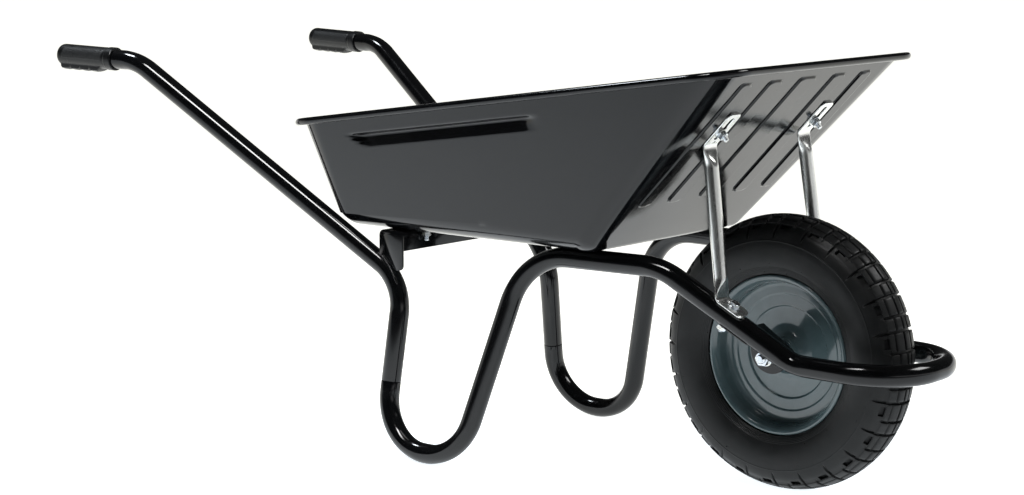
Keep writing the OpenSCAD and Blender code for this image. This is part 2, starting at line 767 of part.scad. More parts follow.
lower_frame_tube();
handle_tube_left();
handle_tube_right();
grip_left();
grip_right();
rear_crossmember();
axle_bracket_left();
axle_bracket_right();
tray();
tray_floor_bolts();
tray_floor_nuts();
strut_left();
strut_right();
strut_top_bolts();
strut_top_washers();
strut_top_nuts();
strut_foot_bolts();
strut_foot_washers();
strut_foot_nuts();
axle_rod();
axle_nuts();
axle_washers();
axle_outer_spacers();
axle_inner_sleeve();
bearing_inner_rings();
bearing_outer_rings();
bearing_balls();
bearing_shields();
hub_tube();
rim_half_left();
rim_half_right();
tyre();
inner_tube();
valve_stem();
valve_cap();
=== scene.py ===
"""Looks of the builder's wheelbarrow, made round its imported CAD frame.

Lengths are in millimetres, with x from the axle's line, y from the middle plane and z from the ground, as in
the CAD. They become metres in the row frame when a mesh is made.
"""

import json
import math
import random

import bmesh
import bpy
import numpy as np
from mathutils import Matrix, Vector


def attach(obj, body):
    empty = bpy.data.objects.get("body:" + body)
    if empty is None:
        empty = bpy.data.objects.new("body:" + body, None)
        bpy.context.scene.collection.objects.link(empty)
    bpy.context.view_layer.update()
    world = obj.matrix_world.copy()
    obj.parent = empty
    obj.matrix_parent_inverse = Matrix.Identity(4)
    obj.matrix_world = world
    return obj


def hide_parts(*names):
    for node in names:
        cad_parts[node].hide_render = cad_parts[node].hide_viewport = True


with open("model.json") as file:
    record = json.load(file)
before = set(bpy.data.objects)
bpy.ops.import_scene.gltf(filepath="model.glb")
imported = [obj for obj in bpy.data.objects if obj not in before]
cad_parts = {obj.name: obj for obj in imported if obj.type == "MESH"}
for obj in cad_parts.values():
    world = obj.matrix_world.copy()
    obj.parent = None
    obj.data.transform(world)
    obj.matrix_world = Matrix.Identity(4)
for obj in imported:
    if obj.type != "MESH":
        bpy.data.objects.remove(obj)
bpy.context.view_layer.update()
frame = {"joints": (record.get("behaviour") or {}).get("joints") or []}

MM = 0.001
AXLE = Vector(frame["joints"][0]["pos_m"])
TAU = 2 * math.pi
UP = np.array([0.0, 0.0, 1.0])
LEFT = np.array([0.0, 1.0, 0.0])


# ---- small mathematics ----
def vec(*values):
    return np.array(values, float)


def unit(v):
    v = np.asarray(v, float)
    return v / np.linalg.norm(v)


def lerp(a, b, t):
    return a + (b - a) * t


def coords(*parts):
    """Points from their coordinates, any of which may be one number."""
    return np.stack(np.broadcast_arrays(*parts), -1)


def polar(r, a, z):
    """Points from their radius, angle and height."""
    return coords(r * np.cos(a), r * np.sin(a), z)


def smooth(t):
    """Rises from 0 to 1 with level ends as t goes from 0 to 1."""
    t = np.clip(t, 0.0, 1.0)
    return t * t * (3 - 2 * t)


def flipped(points):
    """The same points on the other side of the middle plane."""
    return np.asarray(points) * vec(1, -1, 1)


def placed(points, origin, w, u=None):
    """Puts local points at origin with their +Z along w and their +X along u."""
    w = unit(w)
    if u is None:
        u = np.cross(LEFT, w) if abs(w[1]) < 0.9 else vec(1, 0, 0)
    u = unit(np.asarray(u) - w * np.dot(u, w))
    v = np.cross(w, u)
    points = np.asarray(points, float)
    return np.asarray(origin) + points[..., :1] * u + points[..., 1:2] * v + points[..., 2:] * w


def rounded(outline, steps=4):
    """An outline of [x, y, radius] corners as points, with each corner turned into an arc."""
    points = []
    for i, corner in enumerate(outline):
        here, radius = vec(*corner[:2]), corner[2]
        if radius <= 0:
            points.append(here)
            continue
        before = vec(*outline[i - 1][:2]) - here
        after = vec(*outline[(i + 1) % len(outline)][:2]) - here
        turn = math.pi - math.acos(np.clip(np.dot(unit(before), unit(after)), -1, 1))
        if turn < 0.02:
            points.append(here)
            continue
        room = 0.49 * min(np.linalg.norm(before), np.linalg.norm(after))
        cut = min(radius * math.tan(turn / 2), room)
        radius = cut / math.tan(turn / 2)
        start = here + unit(before) * cut
        centre = here + unit(unit(before) + unit(after)) * (radius / math.cos(turn / 2))
        arm = start - centre
        side = np.sign(arm[0] * -before[1] + arm[1] * before[0]) or 1
        for k in range(steps + 1):
            a = side * turn * k / steps
            c, s = math.cos(a), math.sin(a)
            points.append(centre + vec(arm[0] * c - arm[1] * s, arm[0] * s + arm[1] * c))
    return np.array(points)


# ---- meshes ----
class Shells:
    """The points and faces of one piece, which may be several closed shells. A face's kind picks its finish."""

    def __init__(self):
        self.points, self.faces, self.kinds = [], [], []

    def add(self, points, faces):
        base = sum(len(p) for p in self.points)
        self.points.append(np.asarray(points, float).reshape(-1, 3))
        self.faces += [tuple(base + i for i in f) for f in faces]
        self.kinds += [0] * len(faces)
        return self

    def loft(self, rings, closed=False):
        """Skins rings of equal length. The ends are capped, or joined to each other if closed."""
        rings = np.asarray(rings, float)
        count, around = rings.shape[:2]
        faces = []
        for j in range(count if closed else count - 1):
            a, b = j * around, (j + 1) % count * around
            faces += [(a + k, a + (k + 1) % around, b + (k + 1) % around, b + k) for k in range(around)]
        if not closed:
            last = (count - 1) * around
            faces.append(tuple(range(around - 1, -1, -1)))
            faces.append(tuple(last + k for k in range(around)))
        return self.add(rings, faces)

    def both_sides(self):
        """Adds the mirror image of everything so far."""
        points = np.concatenate(self.points)
        self.points.append(flipped(points))
        self.faces += [tuple(len(points) + i for i in reversed(f)) for f in self.faces]
        self.kinds *= 2
        return self

    def flip(self):
        """Moves everything to the other side of the middle plane."""
        self.points = [flipped(p) for p in self.points]


def make_piece(name, shells, slot, *nodes, body="frame", crease=35):
    """Makes one piece of the object from its shells, riding on a CAD body and standing for CAD nodes."""
    points = np.concatenate(shells.points) * MM
    points[:, 0] += AXLE.x
    mesh = bpy.data.meshes.new(name)
    mesh.from_pydata(points.tolist(), [], shells.faces)
    for material in FINISHES[slot]:
        mesh.materials.append(material)
    mesh.polygons.foreach_set("material_index", shells.kinds)
    shape = bmesh.new()
    shape.from_mesh(mesh)
    bmesh.ops.recalc_face_normals(shape, faces=shape.faces)
    shape.to_mesh(mesh)
    shape.free()
    mesh.shade_smooth()
    mesh.set_sharp_from_angle(angle=math.radians(crease))
    piece = bpy.data.objects.new(name, mesh)
    bpy.context.scene.collection.objects.link(piece)
    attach(piece, body)
    if nodes:
        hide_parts(*nodes)
    return piece


def make_pair(name, shells, slot, node, **more):
    """Makes a piece on the left and its mirror image on the right."""
    for side in ("_left", "_right"):
        make_piece(name + side, shells, slot, node + side, **more)
        shells.flip()


def circles(profile, sides=48, twist=None):
    """Rings about +Z through [radius, z] points. twist(angle, z) is added to the radius."""
    angles = np.arange(sides) * TAU / sides
    return np.array([polar(r + (twist(angles, z) if twist else 0), angles, z) for r, z in profile])


# ---- paths and tubes ----
class Path:
    """A line through [corner, bend radius] points, with stations along its bends."""

    def __init__(self, corners, step_deg=4.0):
        points = [vec(*c[0]) for c in corners]
        self.stations = []
        self.length = 0.0
        self._add(points[0], unit(points[1] - points[0]), None, 0)
        for i in range(1, len(points) - 1):
            d0, d1 = unit(points[i] - points[i - 1]), unit(points[i + 1] - points[i])
            turn = math.acos(np.clip(np.dot(d0, d1), -1, 1))
            radius = corners[i][1]
            start = points[i] - d0 * radius * math.tan(turn / 2)
            inward = unit(d1 - d0 * np.dot(d0, d1))
            centre = start + inward * radius
            steps = max(2, round(math.degrees(turn) / step_deg))
            for k in range(steps + 1):
                a = turn * k / steps
                out = -inward * math.cos(a) + d0 * math.sin(a)
                along = d0 * math.cos(a) + inward * math.sin(a)
                weight = float(smooth(min(k, steps - k) / (0.22 * steps)))
                self._add(centre + out * radius, along, -out, weight)
        self._add(points[-1], unit(points[-1] - points[-2]), None, 0)
        self._carry_frames()

    def _add(self, point, along, inward, weight):
        if self.stations:
            self.length += np.linalg.norm(point - self.stations[-1]["p"])
        self.stations.append({"p": point, "t": along, "in": inward, "w": weight, "s": self.length})

    def _carry_frames(self):
        t = self.stations[0]["t"]
        u = unit(np.cross(LEFT if abs(t[1]) < 0.9 else UP, t))
        for station in self.stations:
            u = unit(u - station["t"] * np.dot(u, station["t"]))
            station["u"] = u
            station["v"] = np.cross(station["t"], u)

    def near(self, s):
        """The station at or just before the distance s."""
        found = self.stations[0]
        for station in self.stations:
            if station["s"] > s + 1e-6:
                break
            found = station
        return found

    def at(self, s):
        found = self.near(s)
        return found["p"] + found["t"] * (s - found["s"])


OVAL_IN = 0.055
OVAL_OUT = 0.03
STRAIGHT_STEP = 60.0


def tube_ring(station, radius, sides, shift=0.0, swell=None):
    """One ring of a tube. In a bend it is a little flatter across the bend and wider the other way."""
    a = np.arange(sides) * TAU / sides
    out = np.outer(np.cos(a), station["u"]) + np.outer(np.sin(a), station["v"])
    if station["in"] is not None and station["w"] > 0:
        normal = np.cross(station["t"], station["in"])
        out = out - np.outer(out @ station["in"], station["in"]) * OVAL_IN * station["w"]
        out = out + np.outer(out @ normal, normal) * OVAL_OUT * station["w"]
    ring = station["p"] + station["t"] * shift + out * radius
    if swell:
        ring = ring + swell(ring, station)
    return ring


def tube_rings(path, radius, start=(), end=(), sides=64, swell=None):
    """A tube's rings. start and end are [distance from that end, radius] rings drawn before and after."""
    first, last = path.stations[0], path.stations[-1]
    rings = [tube_ring(first, r, sides, d) for d, r in start]
    keep_from = max([0] + [d for d, _ in start])
    previous = first
    for station in path.stations[1:-1]:
        gap = station["s"] - previous["s"]
        fill = int(gap / STRAIGHT_STEP)
        for k in range(fill):
            shift = gap * (k + 0.5) / fill
            if previous is first and shift < keep_from + 5:
                continue
            rings.append(tube_ring(previous, radius, sides, shift))
        rings.append(tube_ring(station, radius, sides, 0, swell))
        previous = station
    gap = last["s"] - previous["s"]
    keep_to = max([0] + [d for d, _ in end])
    for k in range(int(gap / STRAIGHT_STEP)):
        shift = gap * (k + 0.5) / int(gap / STRAIGHT_STEP)
        if gap - shift > keep_to + 5:
            rings.append(tube_ring(previous, radius, sides, shift))
    rings += [tube_ring(last, r, sides, -d) for d, r in end]
    return np.array(rings)


# ---- materials ----
class Finish:
    """A material made of nodes, with its pattern fixed to the object so that it turns with the wheel."""

    def __init__(self, name, roughness, patch, stretch=(1, 1, 1), **sockets):
        self.material = bpy.data.materials.new(name)
        self.material.use_nodes = True
        self.tree = self.material.node_tree
        self.shader = self.tree.nodes["Principled BSDF"]
        for socket, value in sockets.items():
            self.shader.inputs[socket.replace("_", " ")].default_value = value
        self.coords = self.tree.nodes.new("ShaderNodeTexCoord").outputs["Object"]
        self.height = None
        rough = self.remap(self.noise(patch, 4, stretch), *roughness)
        self.tree.links.new(rough, self.shader.inputs["Roughness"])

    def node(self, kind, **inputs):
        made = self.tree.nodes.new(kind)
        for name, value in inputs.items():
            socket = made.inputs[name.replace("_", " ")]
            if isinstance(value, bpy.types.NodeSocket):
                self.tree.links.new(value, socket)
            else:
                socket.default_value = value
        return made

    def stretched(self, stretch=(1, 1, 1)):
        return self.node("ShaderNodeMapping", Vector=self.coords, Scale=stretch).outputs["Vector"]

    def noise(self, scale, detail, stretch=(1, 1, 1)):
        vector = self.stretched(stretch)
        made = self.node("ShaderNodeTexNoise", Vector=vector, Scale=scale, Detail=detail, Roughness=0.55)
        return made.outputs["Fac"]

    def cells(self, scale):
        return self.node("ShaderNodeTexVoronoi", Vector=self.stretched(), Scale=scale).outputs["Distance"]

    def remap(self, value, low, high, from_low=0.3, from_high=0.7):
        made = self.node("ShaderNodeMapRange", Value=value, To_Min=low, To_Max=high)
        made.inputs["From Min"].default_value = from_low
        made.inputs["From Max"].default_value = from_high
        return made.outputs["Result"]

    def ramp(self, value, *stops):
        """Colours from a pattern: stops are (position, (r, g, b))."""
        made = self.node("ShaderNodeValToRGB", Fac=value)
        elements = made.color_ramp.elements
        while len(elements) < len(stops):
            elements.new(0.5)
        for element, (position, rgb) in zip(elements, stops):
            element.position = position
            element.color = (*rgb, 1)
        return made.outputs["Color"]

    def colour(self, value, *stops):
        self.tree.links.new(self.ramp(value, *stops), self.shader.inputs["Base Color"])

    def bump(self, pattern, distance, strength):
        """Adds relief of that height in millimetres on top of any before it."""
        made = self.node("ShaderNodeBump", Height=pattern, Distance=distance * MM, Strength=strength)
        if self.height is not None:
            self.tree.links.new(self.height, made.inputs["Normal"])
        self.height = made.outputs["Normal"]
        self.tree.links.new(self.height, self.shader.inputs["Normal"])


def finished(name, roughness, patch, pattern, stops, bumps, **more):
    """A material coloured by noise, with bumps of (height, strength, noise) or of (height, strength, cell scale)."""
    finish = Finish(name, roughness, patch, **more)
    finish.colour(finish.noise(*pattern), *stops)
    for height, strength, *relief in bumps:
        finish.bump(finish.noise(*relief) if len(relief) > 1 else finish.cells(*relief), height, strength)
    return finish.material


def black_paint(name, tone, ripple):
    """Glossy black powder coat: fine orange peel, slow ripples in the sheet and faint dust in the gloss."""
    bumps = [(0.5, 0.16, 9, 1, ripple), (0.05, 0.12, 420, 2)]
    dusty = tuple(c * 1.6 for c in tone)
    return finished(name, (0.07, 0.15), 24, (60, 5), [(0.35, tone), (0.75, dusty)], bumps, IOR=1.42)


# The materials of each slot. The grip's second one is for its grained panels.
MOULDED = {"IOR": 1.5, "Specular_IOR_Level": 0.3}
FINISHES = {
    "frame_paint": [black_paint("frame_paint", (0.0022, 0.0024, 0.0027), (1, 1, 1))],
    "tray_paint": [black_paint("tray_paint", (0.0022, 0.0025, 0.0030), (2.2, 1, 0.45))],
    # Zinc-dipped tube: bright, with streaks drawn along the tube and a soft bloom
    "galvanised_steel": [finished(
        "galvanised", (0.2, 0.32), 16, (22, 6, (4, 4, 0.3)),
        [(0.3, (0.70, 0.71, 0.68)), (0.55, (0.84, 0.85, 0.83)), (0.8, (0.93, 0.94, 0.93))],
        [(0.12, 0.35, 70, 3, (5, 5, 0.2)), (0.03, 0.2, 260)], stretch=(3, 3, 0.35), Metallic=1.0,
    )],
    # Bright zinc plating with a faint blue and straw tint that drifts over each fastener
    "zinc_fastener": [finished(
        "zinc_plate", (0.16, 0.34), 180, (90, 3),
        [(0.32, (0.62, 0.68, 0.76)), (0.52, (0.74, 0.76, 0.77)), (0.72, (0.76, 0.74, 0.66))],
        [(0.03, 0.3, 900, 3)], Metallic=1.0,
    )],
    # Ground and hardened steel with fine grinding marks
    "bearing_steel": [finished(
        "ground_steel", (0.14, 0.26), 220, (160, 3), [(0.35, (0.48, 0.49, 0.50)), (0.7, (0.60, 0.61, 0.62))],
        [(0.02, 0.25, 1500, 2, (1, 5, 1))], Metallic=1.0,
    )],
    # Blue-grey stoving enamel: wet gloss over a pressing that is not quite flat
    "rim_enamel": [finished(
        "rim_enamel", (0.10, 0.2), 30, (45, 4), [(0.3, (0.062, 0.094, 0.102)), (0.7, (0.078, 0.114, 0.122))],
        [(0.35, 0.14, 22, 2), (0.05, 0.2, 480, 2)], IOR=1.5, Coat_Weight=0.6, Coat_Roughness=0.04,
    )],
    # Moulded tyre rubber: satin, with fine mould grain and a little bloom
    "tyre_rubber": [finished(
        "tyre_rubber", (0.38, 0.55), 26, (32, 6),
        [(0.3, (0.0050, 0.0055, 0.0058)), (0.6, (0.0080, 0.0086, 0.0088)), (0.85, (0.014, 0.0148, 0.0145))],
        [(0.12, 0.3, 120, 3), (0.06, 0.35, 1400, 3)], **MOULDED,
    )],
    # Plain matt rubber of the inner tube and its valve
    "tube_rubber": [finished(
        "inner_rubber", (0.55, 0.75), 60, (80, 4), [(0.3, (0.012, 0.012, 0.012)), (0.7, (0.022, 0.022, 0.021))],
        [(0.05, 0.4, 900, 3)], IOR=1.5,
    )],
    # Smooth moulded plastic, and a fine leather-like grain that scatters the light
    "grip_rubber": [finished(
        "grip_smooth", (0.26, 0.38), 50, (120, 4), [(0.3, (0.004, 0.0043, 0.0046)), (0.7, (0.007, 0.0075, 0.008))],
        [(0.05, 0.35, 900, 3)], **MOULDED,
    ), finished(
        "grip_grain", (0.42, 0.56), 50, (300, 4), [(0.3, (0.008, 0.0086, 0.0092)), (0.7, (0.015, 0.016, 0.017))],
        [(0.5, 0.8, 620)], **MOULDED,
    )],
}


# ---- frame tubes ----
TUBE_R = 15.0
TUBE_WALL = 1.5
NECK = 45.0
JOINT_HEIGHT = 112.0
GRIP_PLUG = 6.0
END_EDGE = 1.2
FIT_GAP = 0.1

GRIP_END = vec(-1194, 288, 578)
HANDLE_BEND = vec(-1031, 276.5, 574.2)
SHOULDER = vec(-574, 174, 261.7)
REAR_FOOT = vec(-583.3, 210, 15)
FRONT_FOOT = vec(-434.7, 210, 15)
RUN_REAR = vec(-350, 158.5, 323.5)
RUN_FRONT = vec(-119, 146, 323.5)
DIP = vec(70, 99, 201.7)
NOSE = vec(235, 97.5, 198.4)
LEG_DIR = unit(SHOULDER - REAR_FOOT)
JOINT = REAR_FOOT + LEG_DIR * ((JOINT_HEIGHT - REAR_FOOT[2]) / LEG_DIR[2])
GRIP_DIR = unit(GRIP_END - HANDLE_BEND)
HANDLE_TIP = GRIP_END - GRIP_DIR * GRIP_PLUG
SLOPE_DIR = unit(DIP - RUN_FRONT)
SLOPE_UP = unit(np.cross(SLOPE_DIR, LEFT))

half_lower = [
    (JOINT, 0), (REAR_FOOT, 80), (FRONT_FOOT, 80), (RUN_REAR, 100), (RUN_FRONT, 83.5), (DIP, 71), (NOSE, 90)
]
lower_path = Path(half_lower + [(flipped(p), r) for p, r in reversed(half_lower)])
handle_path = Path([(HANDLE_TIP, 0), (HANDLE_BEND, 81), (SHOULDER, 84.5), (JOINT, 0)])


# Height, place along x from the bend's corner and width of the buckle's ridge and of the hollow before it
WRINKLES = ((1.5, -9, 4.5), (-1.1, -1, 5))
WRINKLE_REACH = 60.0


def dip_wrinkle(ring, station):
    """The small buckle that the bender left on the inside of the bend behind the wheel's centre."""
    out = unit(station["in"]) if station["in"] is not None else UP
    beyond = station["p"] - (DIP * vec(1, math.copysign(1, station["p"][1]), 1))
    if np.linalg.norm(beyond) > WRINKLE_REACH:
        return 0
    facing = np.clip((ring - station["p"]) @ out / TUBE_R, 0, 1) ** 3
    wave = sum(high * math.exp(-((beyond[0] - at) / wide) ** 2) for high, at, wide in WRINKLES)
    return np.outer(facing, out) * wave


def rounded_end(edge):
    """The last rings of a tube whose cut end is a little rounded."""
    return [(edge, TUBE_R), (edge * 0.4, TUBE_R - edge * 0.2), (0.05, TUBE_R - edge * 0.8)]


def frame_tubes():
    neck_r = TUBE_R - TUBE_WALL - FIT_GAP
    neck = [(-NECK, neck_r - TUBE_WALL), (-NECK, neck_r), (0.3, neck_r)]
    lower_end = neck + rounded_end(END_EDGE)[::-1]
    lower = Shells().loft(tube_rings(lower_path, TUBE_R, lower_end, lower_end[::-1], swell=dip_wrinkle))
    make_piece("frame_lower_tube", lower, "frame_paint", "lower_frame_tube")

    socket = rounded_end(END_EDGE) + [(0.05, TUBE_R - TUBE_WALL), (NECK + 4, TUBE_R - TUBE_WALL)]
    handle = Shells().loft(tube_rings(handle_path, TUBE_R, [(0, TUBE_R - 0.6), (0.6, TUBE_R)], socket))
    make_pair("frame_handle", handle, "frame_paint", "handle_tube")


# ---- fasteners, drawn along +Z with the face that bears on something at z = 0 ----
HEX_SIDES = 72
HEX_FACE = 0.95
HEX_CHAMFER = math.radians(30)
NUT_BEVEL = 0.9
WASHER_EDGE = 0.25
CUP_R = 10.0
CUP_HEIGHT = 5.6
CUP_SINK = 0.6
CUP_NECK = 2.2


def hex_rings(flats, height, chamfer_low=True):
    """Rings up the outside of a hexagon whose corners are turned off at an angle."""
    angles = np.arange(HEX_SIDES) * TAU / HEX_SIDES
    corner = flats / 2 / np.cos((angles % (TAU / 6)) - TAU / 12)
    face = flats / 2 * HEX_FACE
    drop = (corner - face) * math.tan(HEX_CHAMFER)
    levels = [(face, 0), (corner, drop if chamfer_low else 0), (corner, height - drop), (face, height)]
    return [polar(r, angles, z) for r, z in levels]


def nut_rings(flats, height, bore):
    flare = bore + NUT_BEVEL
    inside = circles([(flare, height), (bore, height - NUT_BEVEL), (bore, NUT_BEVEL), (flare, 0)], HEX_SIDES)
    return np.array(hex_rings(flats, height) + list(inside))


def washer_rings(radius, thick, bore):
    edge = WASHER_EDGE
    outline = [(bore, 0, edge), (radius, 0, edge), (radius, thick, edge * 2), (bore, thick, edge)]
    return circles(rounded(outline, 3), 64)


THREAD_PITCH = 1.25
THREAD_DEPTH = 0.62


def thread(angles, z):
    """The helical thread of a bolt, as a change of radius."""
    phase = (z / THREAD_PITCH - angles / TAU) % 1.0
    return -THREAD_DEPTH * np.abs(2 * phase - 1) ** 0.8


def threaded(radius, low, high, sides=40):
    """Rings down a threaded rod from high to low, with a chamfered tip at low."""
    levels = np.arange(high, low + 1.2, -THREAD_PITCH / 8)
    body = [circles([(radius, z)], sides, thread)[0] for z in levels]
    tip = circles([(radius - 0.35, low + 0.8), (radius - 1.0, low), (radius - 2.2, low)], sides)
    return np.array(body + list(tip))


def add_hex_bolt(shells, place, flats, head, radius, reach):
    """A hexagon bolt with its head above z = 0 and its thread down to z = -reach."""
    dish = [(flats * 0.1, head - 0.3), (flats * 0.31, head - 0.3), (flats * 0.34, head)]
    rings = list(circles(dish, HEX_SIDES)) + hex_rings(flats, head, chamfer_low=False)[::-1]
    shells.loft(place(np.array(rings + list(circles([(radius, 0.01)], HEX_SIDES)))))
    shells.loft(place(threaded(radius, -reach, 0.5)))


def add_cup_bolt(shells, place, radius, reach):
    """A cup square bolt: a low dome and a threaded shank."""
    dome = [(CUP_R * math.sin(a), CUP_HEIGHT * math.cos(a) - CUP_SINK) for a in np.linspace(0.06, 1.42, 12)]
    outline = dome + [(CUP_R, 0.0), (radius, 0.0), (radius, -CUP_NECK)]
    shells.loft(place(circles(outline, 48)))
    shells.loft(place(threaded(radius, -reach, -1.5)))


def placer(origin, w):
    return lambda rings: placed(rings, origin, w)


BOLT_R = 4.0
NUT_FLATS = 13.0
NUT_HEIGHT = 6.5
HEAD_HEIGHT = 5.3
WASHER_R = 8.5
WASHER_T = 1.6
WASHER_BORE = 4.2
FLOOR_Z = 338.6
SHEET = 1.2
RIM_HEIGHT = 604.28
RIM_SLOPE = math.tan(math.radians(8.12))
FLOOR_FRONT = -214.0
FLOOR_REAR = -687.0
MOUTH_FRONT = 47.5
MOUTH_REAR = -730.0


def rim_z(x):
    return RIM_HEIGHT + RIM_SLOPE * x


PANEL_FOOT = vec(FLOOR_FRONT, 0, FLOOR_Z)
PANEL_HEAD = vec(MOUTH_FRONT, 0, rim_z(MOUTH_FRONT))
PANEL_DIR = unit(PANEL_HEAD - PANEL_FOOT)
PANEL_OUT = vec(PANEL_DIR[2], 0, -PANEL_DIR[0])
PANEL_LENGTH = np.linalg.norm(PANEL_HEAD - PANEL_FOOT)
PANEL_SKIN = 0.95
PLATE_T = 3.0
PLATE_W = 32.0
STRUT_Y = 119.0
STRUT_BEND_S = 222.0
STRUT_BOLT_S = 25.0
STRUT_OFF = PANEL_SKIN + PLATE_T / 2 + 0.1
FOOT_FROM = -19.0
FOOT_TO = 21.0
FOOT_BOLT_X = -22.5
foot_bolt_mid = RUN_FRONT + SLOPE_DIR * ((FOOT_BOLT_X - RUN_FRONT[0]) / SLOPE_DIR[0])
strut_top = PANEL_FOOT + PANEL_DIR * STRUT_BEND_S + PANEL_OUT * STRUT_OFF + LEFT * STRUT_Y
strut_bottom = foot_bolt_mid + SLOPE_DIR * FOOT_FROM + SLOPE_UP * (TUBE_R + PLATE_T / 2 + 0.05)
top_bolt_mid = PANEL_FOOT + PANEL_DIR * (STRUT_BEND_S + STRUT_BOLT_S) + LEFT * STRUT_Y
STRUT_FACE = STRUT_OFF + PLATE_T / 2
FOOT_FACE = TUBE_R + PLATE_T + 0.05
FLOOR_BOLT = vec(-552, 146, 0)
CHANNEL_T = 3.0


def fastener_pieces():
    """Bolts, washers and nuts: one piece for each CAD node, with both sides in it."""
    def piece(node, fill):
        shells = Shells()
        fill(shells)
        make_piece(node + "_zinc", shells.both_sides(), "zinc_fastener", node, crease=28)

    def ring_piece(node, rings, at, along):
        piece(node, lambda s: s.loft(placed(rings, at, along), closed=True))

    nut = nut_rings(NUT_FLATS, NUT_HEIGHT, BOLT_R)
    washer = washer_rings(WASHER_R, WASHER_T, WASHER_BORE)
    inside_floor = FLOOR_BOLT + UP * (FLOOR_Z + SHEET)
    piece("tray_floor_bolts", lambda s: add_cup_bolt(s, placer(inside_floor, UP), BOLT_R, 18))
    ring_piece("tray_floor_nuts", nut, FLOOR_BOLT + UP * (FLOOR_Z - FIT_GAP - CHANNEL_T), -UP)
    head = top_bolt_mid - PANEL_OUT * 0.35
    face = top_bolt_mid + PANEL_OUT * STRUT_FACE
    piece("strut_top_bolts", lambda s: add_cup_bolt(s, placer(head, -PANEL_OUT), BOLT_R, STRUT_FACE + 15))
    ring_piece("strut_top_washers", washer, face, PANEL_OUT)
    ring_piece("strut_top_nuts", nut, face + PANEL_OUT * WASHER_T, PANEL_OUT)
    foot = foot_bolt_mid + SLOPE_UP * FOOT_FACE
    above = placer(foot + SLOPE_UP * WASHER_T, SLOPE_UP)
    bolt_reach = FOOT_FACE + TUBE_R + 11.6
    piece("strut_foot_bolts", lambda s: add_hex_bolt(s, above, NUT_FLATS, HEAD_HEIGHT, BOLT_R, bolt_reach))
    ring_piece("strut_foot_washers", washer, foot, SLOPE_UP)
    ring_piece("strut_foot_nuts", nut, foot_bolt_mid - SLOPE_UP * (TUBE_R + 0.05), -SLOPE_UP)


# ---- plates and welds ----
def inset(outline, distance):
    """A closed outline moved inwards, for bevelled edges."""
    before, after = np.roll(outline, 1, 0), np.roll(outline, -1, 0)
    along = (after - before) / np.maximum(np.linalg.norm(after - before, axis=1), 1e-9)[:, None]
    area = np.sum(outline[:, 0] * after[:, 1] - after[:, 0] * outline[:, 1])
    inward = coords(-along[:, 1], along[:, 0]) * math.copysign(1, area)
    return outline + inward * distance


def slab_rings(outline, thick, bevel, put):
    """A plate with bevelled edges. put(outline, height) places a level of it."""
    outline = np.asarray(outline, float)
    small = inset(outline, bevel)
    return [put(small, 0), put(outline, bevel), put(outline, thick - bevel), put(small, thick)]


def across_at(y):
    """Places an outline of [x, z] points at y + height."""
    return lambda points, height: coords(points[:, 0], y + height, points[:, 1])


def flat_at(z):
    """Places an outline of [x, y] points at z + height."""
    return lambda points, height: coords(points[:, 0], points[:, 1], z + height)


def weld_bead(shells, line, radius, pitch=2.6, seed=1):
    """A bead of overlapping ripples laid along a line of points."""
    draw = random.Random(seed)
    line = np.asarray(line)
    lengths = np.concatenate([[0], np.cumsum(np.linalg.norm(np.diff(line, axis=0), axis=1))])
    count = max(6, int(lengths[-1] / pitch * 5))
    rings = []
    a = np.arange(14) * TAU / 14
    for k in range(count + 1):
        s = lengths[-1] * k / count
        p = np.array([np.interp(s, lengths, line[:, i]) for i in range(3)])
        q = np.array([np.interp(min(s + 1, lengths[-1] + 1e-3), lengths, line[:, i]) for i in range(3)])
        t = unit(q - p) if k < count else t
        u = unit(np.cross(t, LEFT))
        v = np.cross(t, u)
        phase = (s / pitch) % 1.0
        end = math.sqrt(max(0.02, 1 - abs(2 * k / count - 1) ** 6))
        r = radius * end * (0.82 + 0.2 * phase + 0.05 * draw.uniform(-1, 1))
        rings.append(p + r * (np.outer(np.cos(a), u) + np.outer(np.sin(a), v)))
    shells.loft(rings)


CHANNEL_REAR = -609.0
CHANNEL_FRONT = -562.0
CHANNEL_DEPTH = 30.0
CHANNEL_HALF = 188.0
END_PLATE_Z = 281.0


def rear_crossmember():
    top, low = FLOOR_Z - FIT_GAP, FLOOR_Z - CHANNEL_DEPTH
    x0, x1, t = CHANNEL_REAR, CHANNEL_FRONT, CHANNEL_T
    shells = Shells()
    channel = [
        (x0, low, 1), (x0, top, 9), (x1, top, 9), (x1, low, 1),
        (x1 - t, low, 1), (x1 - t, top - t, 6), (x0 + t, top - t, 6), (x0 + t, low, 1),
    ]
    length = 2 * (CHANNEL_HALF - t)
    shells.loft(slab_rings(rounded(channel, 7), length, 0.3, across_at(t - CHANNEL_HALF)))
    plate = [
        (x0, 297, 3), (x0, top, 9), (x1, top, 9), (x1, END_PLATE_Z, 10),
        (x1 - 12, END_PLATE_Z - 3, 2), (x0 + 14, 286, 2),
    ]
    tab = [(x1 - 12, 135, 0), (x1 + 22, 135, 5), (x1 + 22, 157, 5), (x1 - 12, 157, 0)]
    ends = Shells()
    ends.loft(slab_rings(rounded(plate, 8), t, 0.6, across_at(CHANNEL_HALF - t)))
    ends.loft(slab_rings(rounded(tab, 6), t, 0.5, flat_at(top - t)))
    ends.both_sides()
    shells.add(np.concatenate(ends.points), ends.faces)
    make_piece("rear_crossmember_plate", shells, "frame_paint", "rear_crossmember", crease=50)


def tube_side_point(station, y):
    """The point where the upper front of a handle tube meets the plane at y."""
    outward = unit(LEFT - station["t"] * station["t"][1])
    ridge = np.cross(station["t"], outward)
    ridge = ridge * math.copysign(1, ridge[0] + ridge[2])
    angles = np.radians(np.arange(-60, 61, 1))
    points = station["p"] + TUBE_R * (np.outer(np.cos(angles), ridge) + np.outer(np.sin(angles), outward))
    return points[np.argmin(np.abs(points[:, 1] - y))]


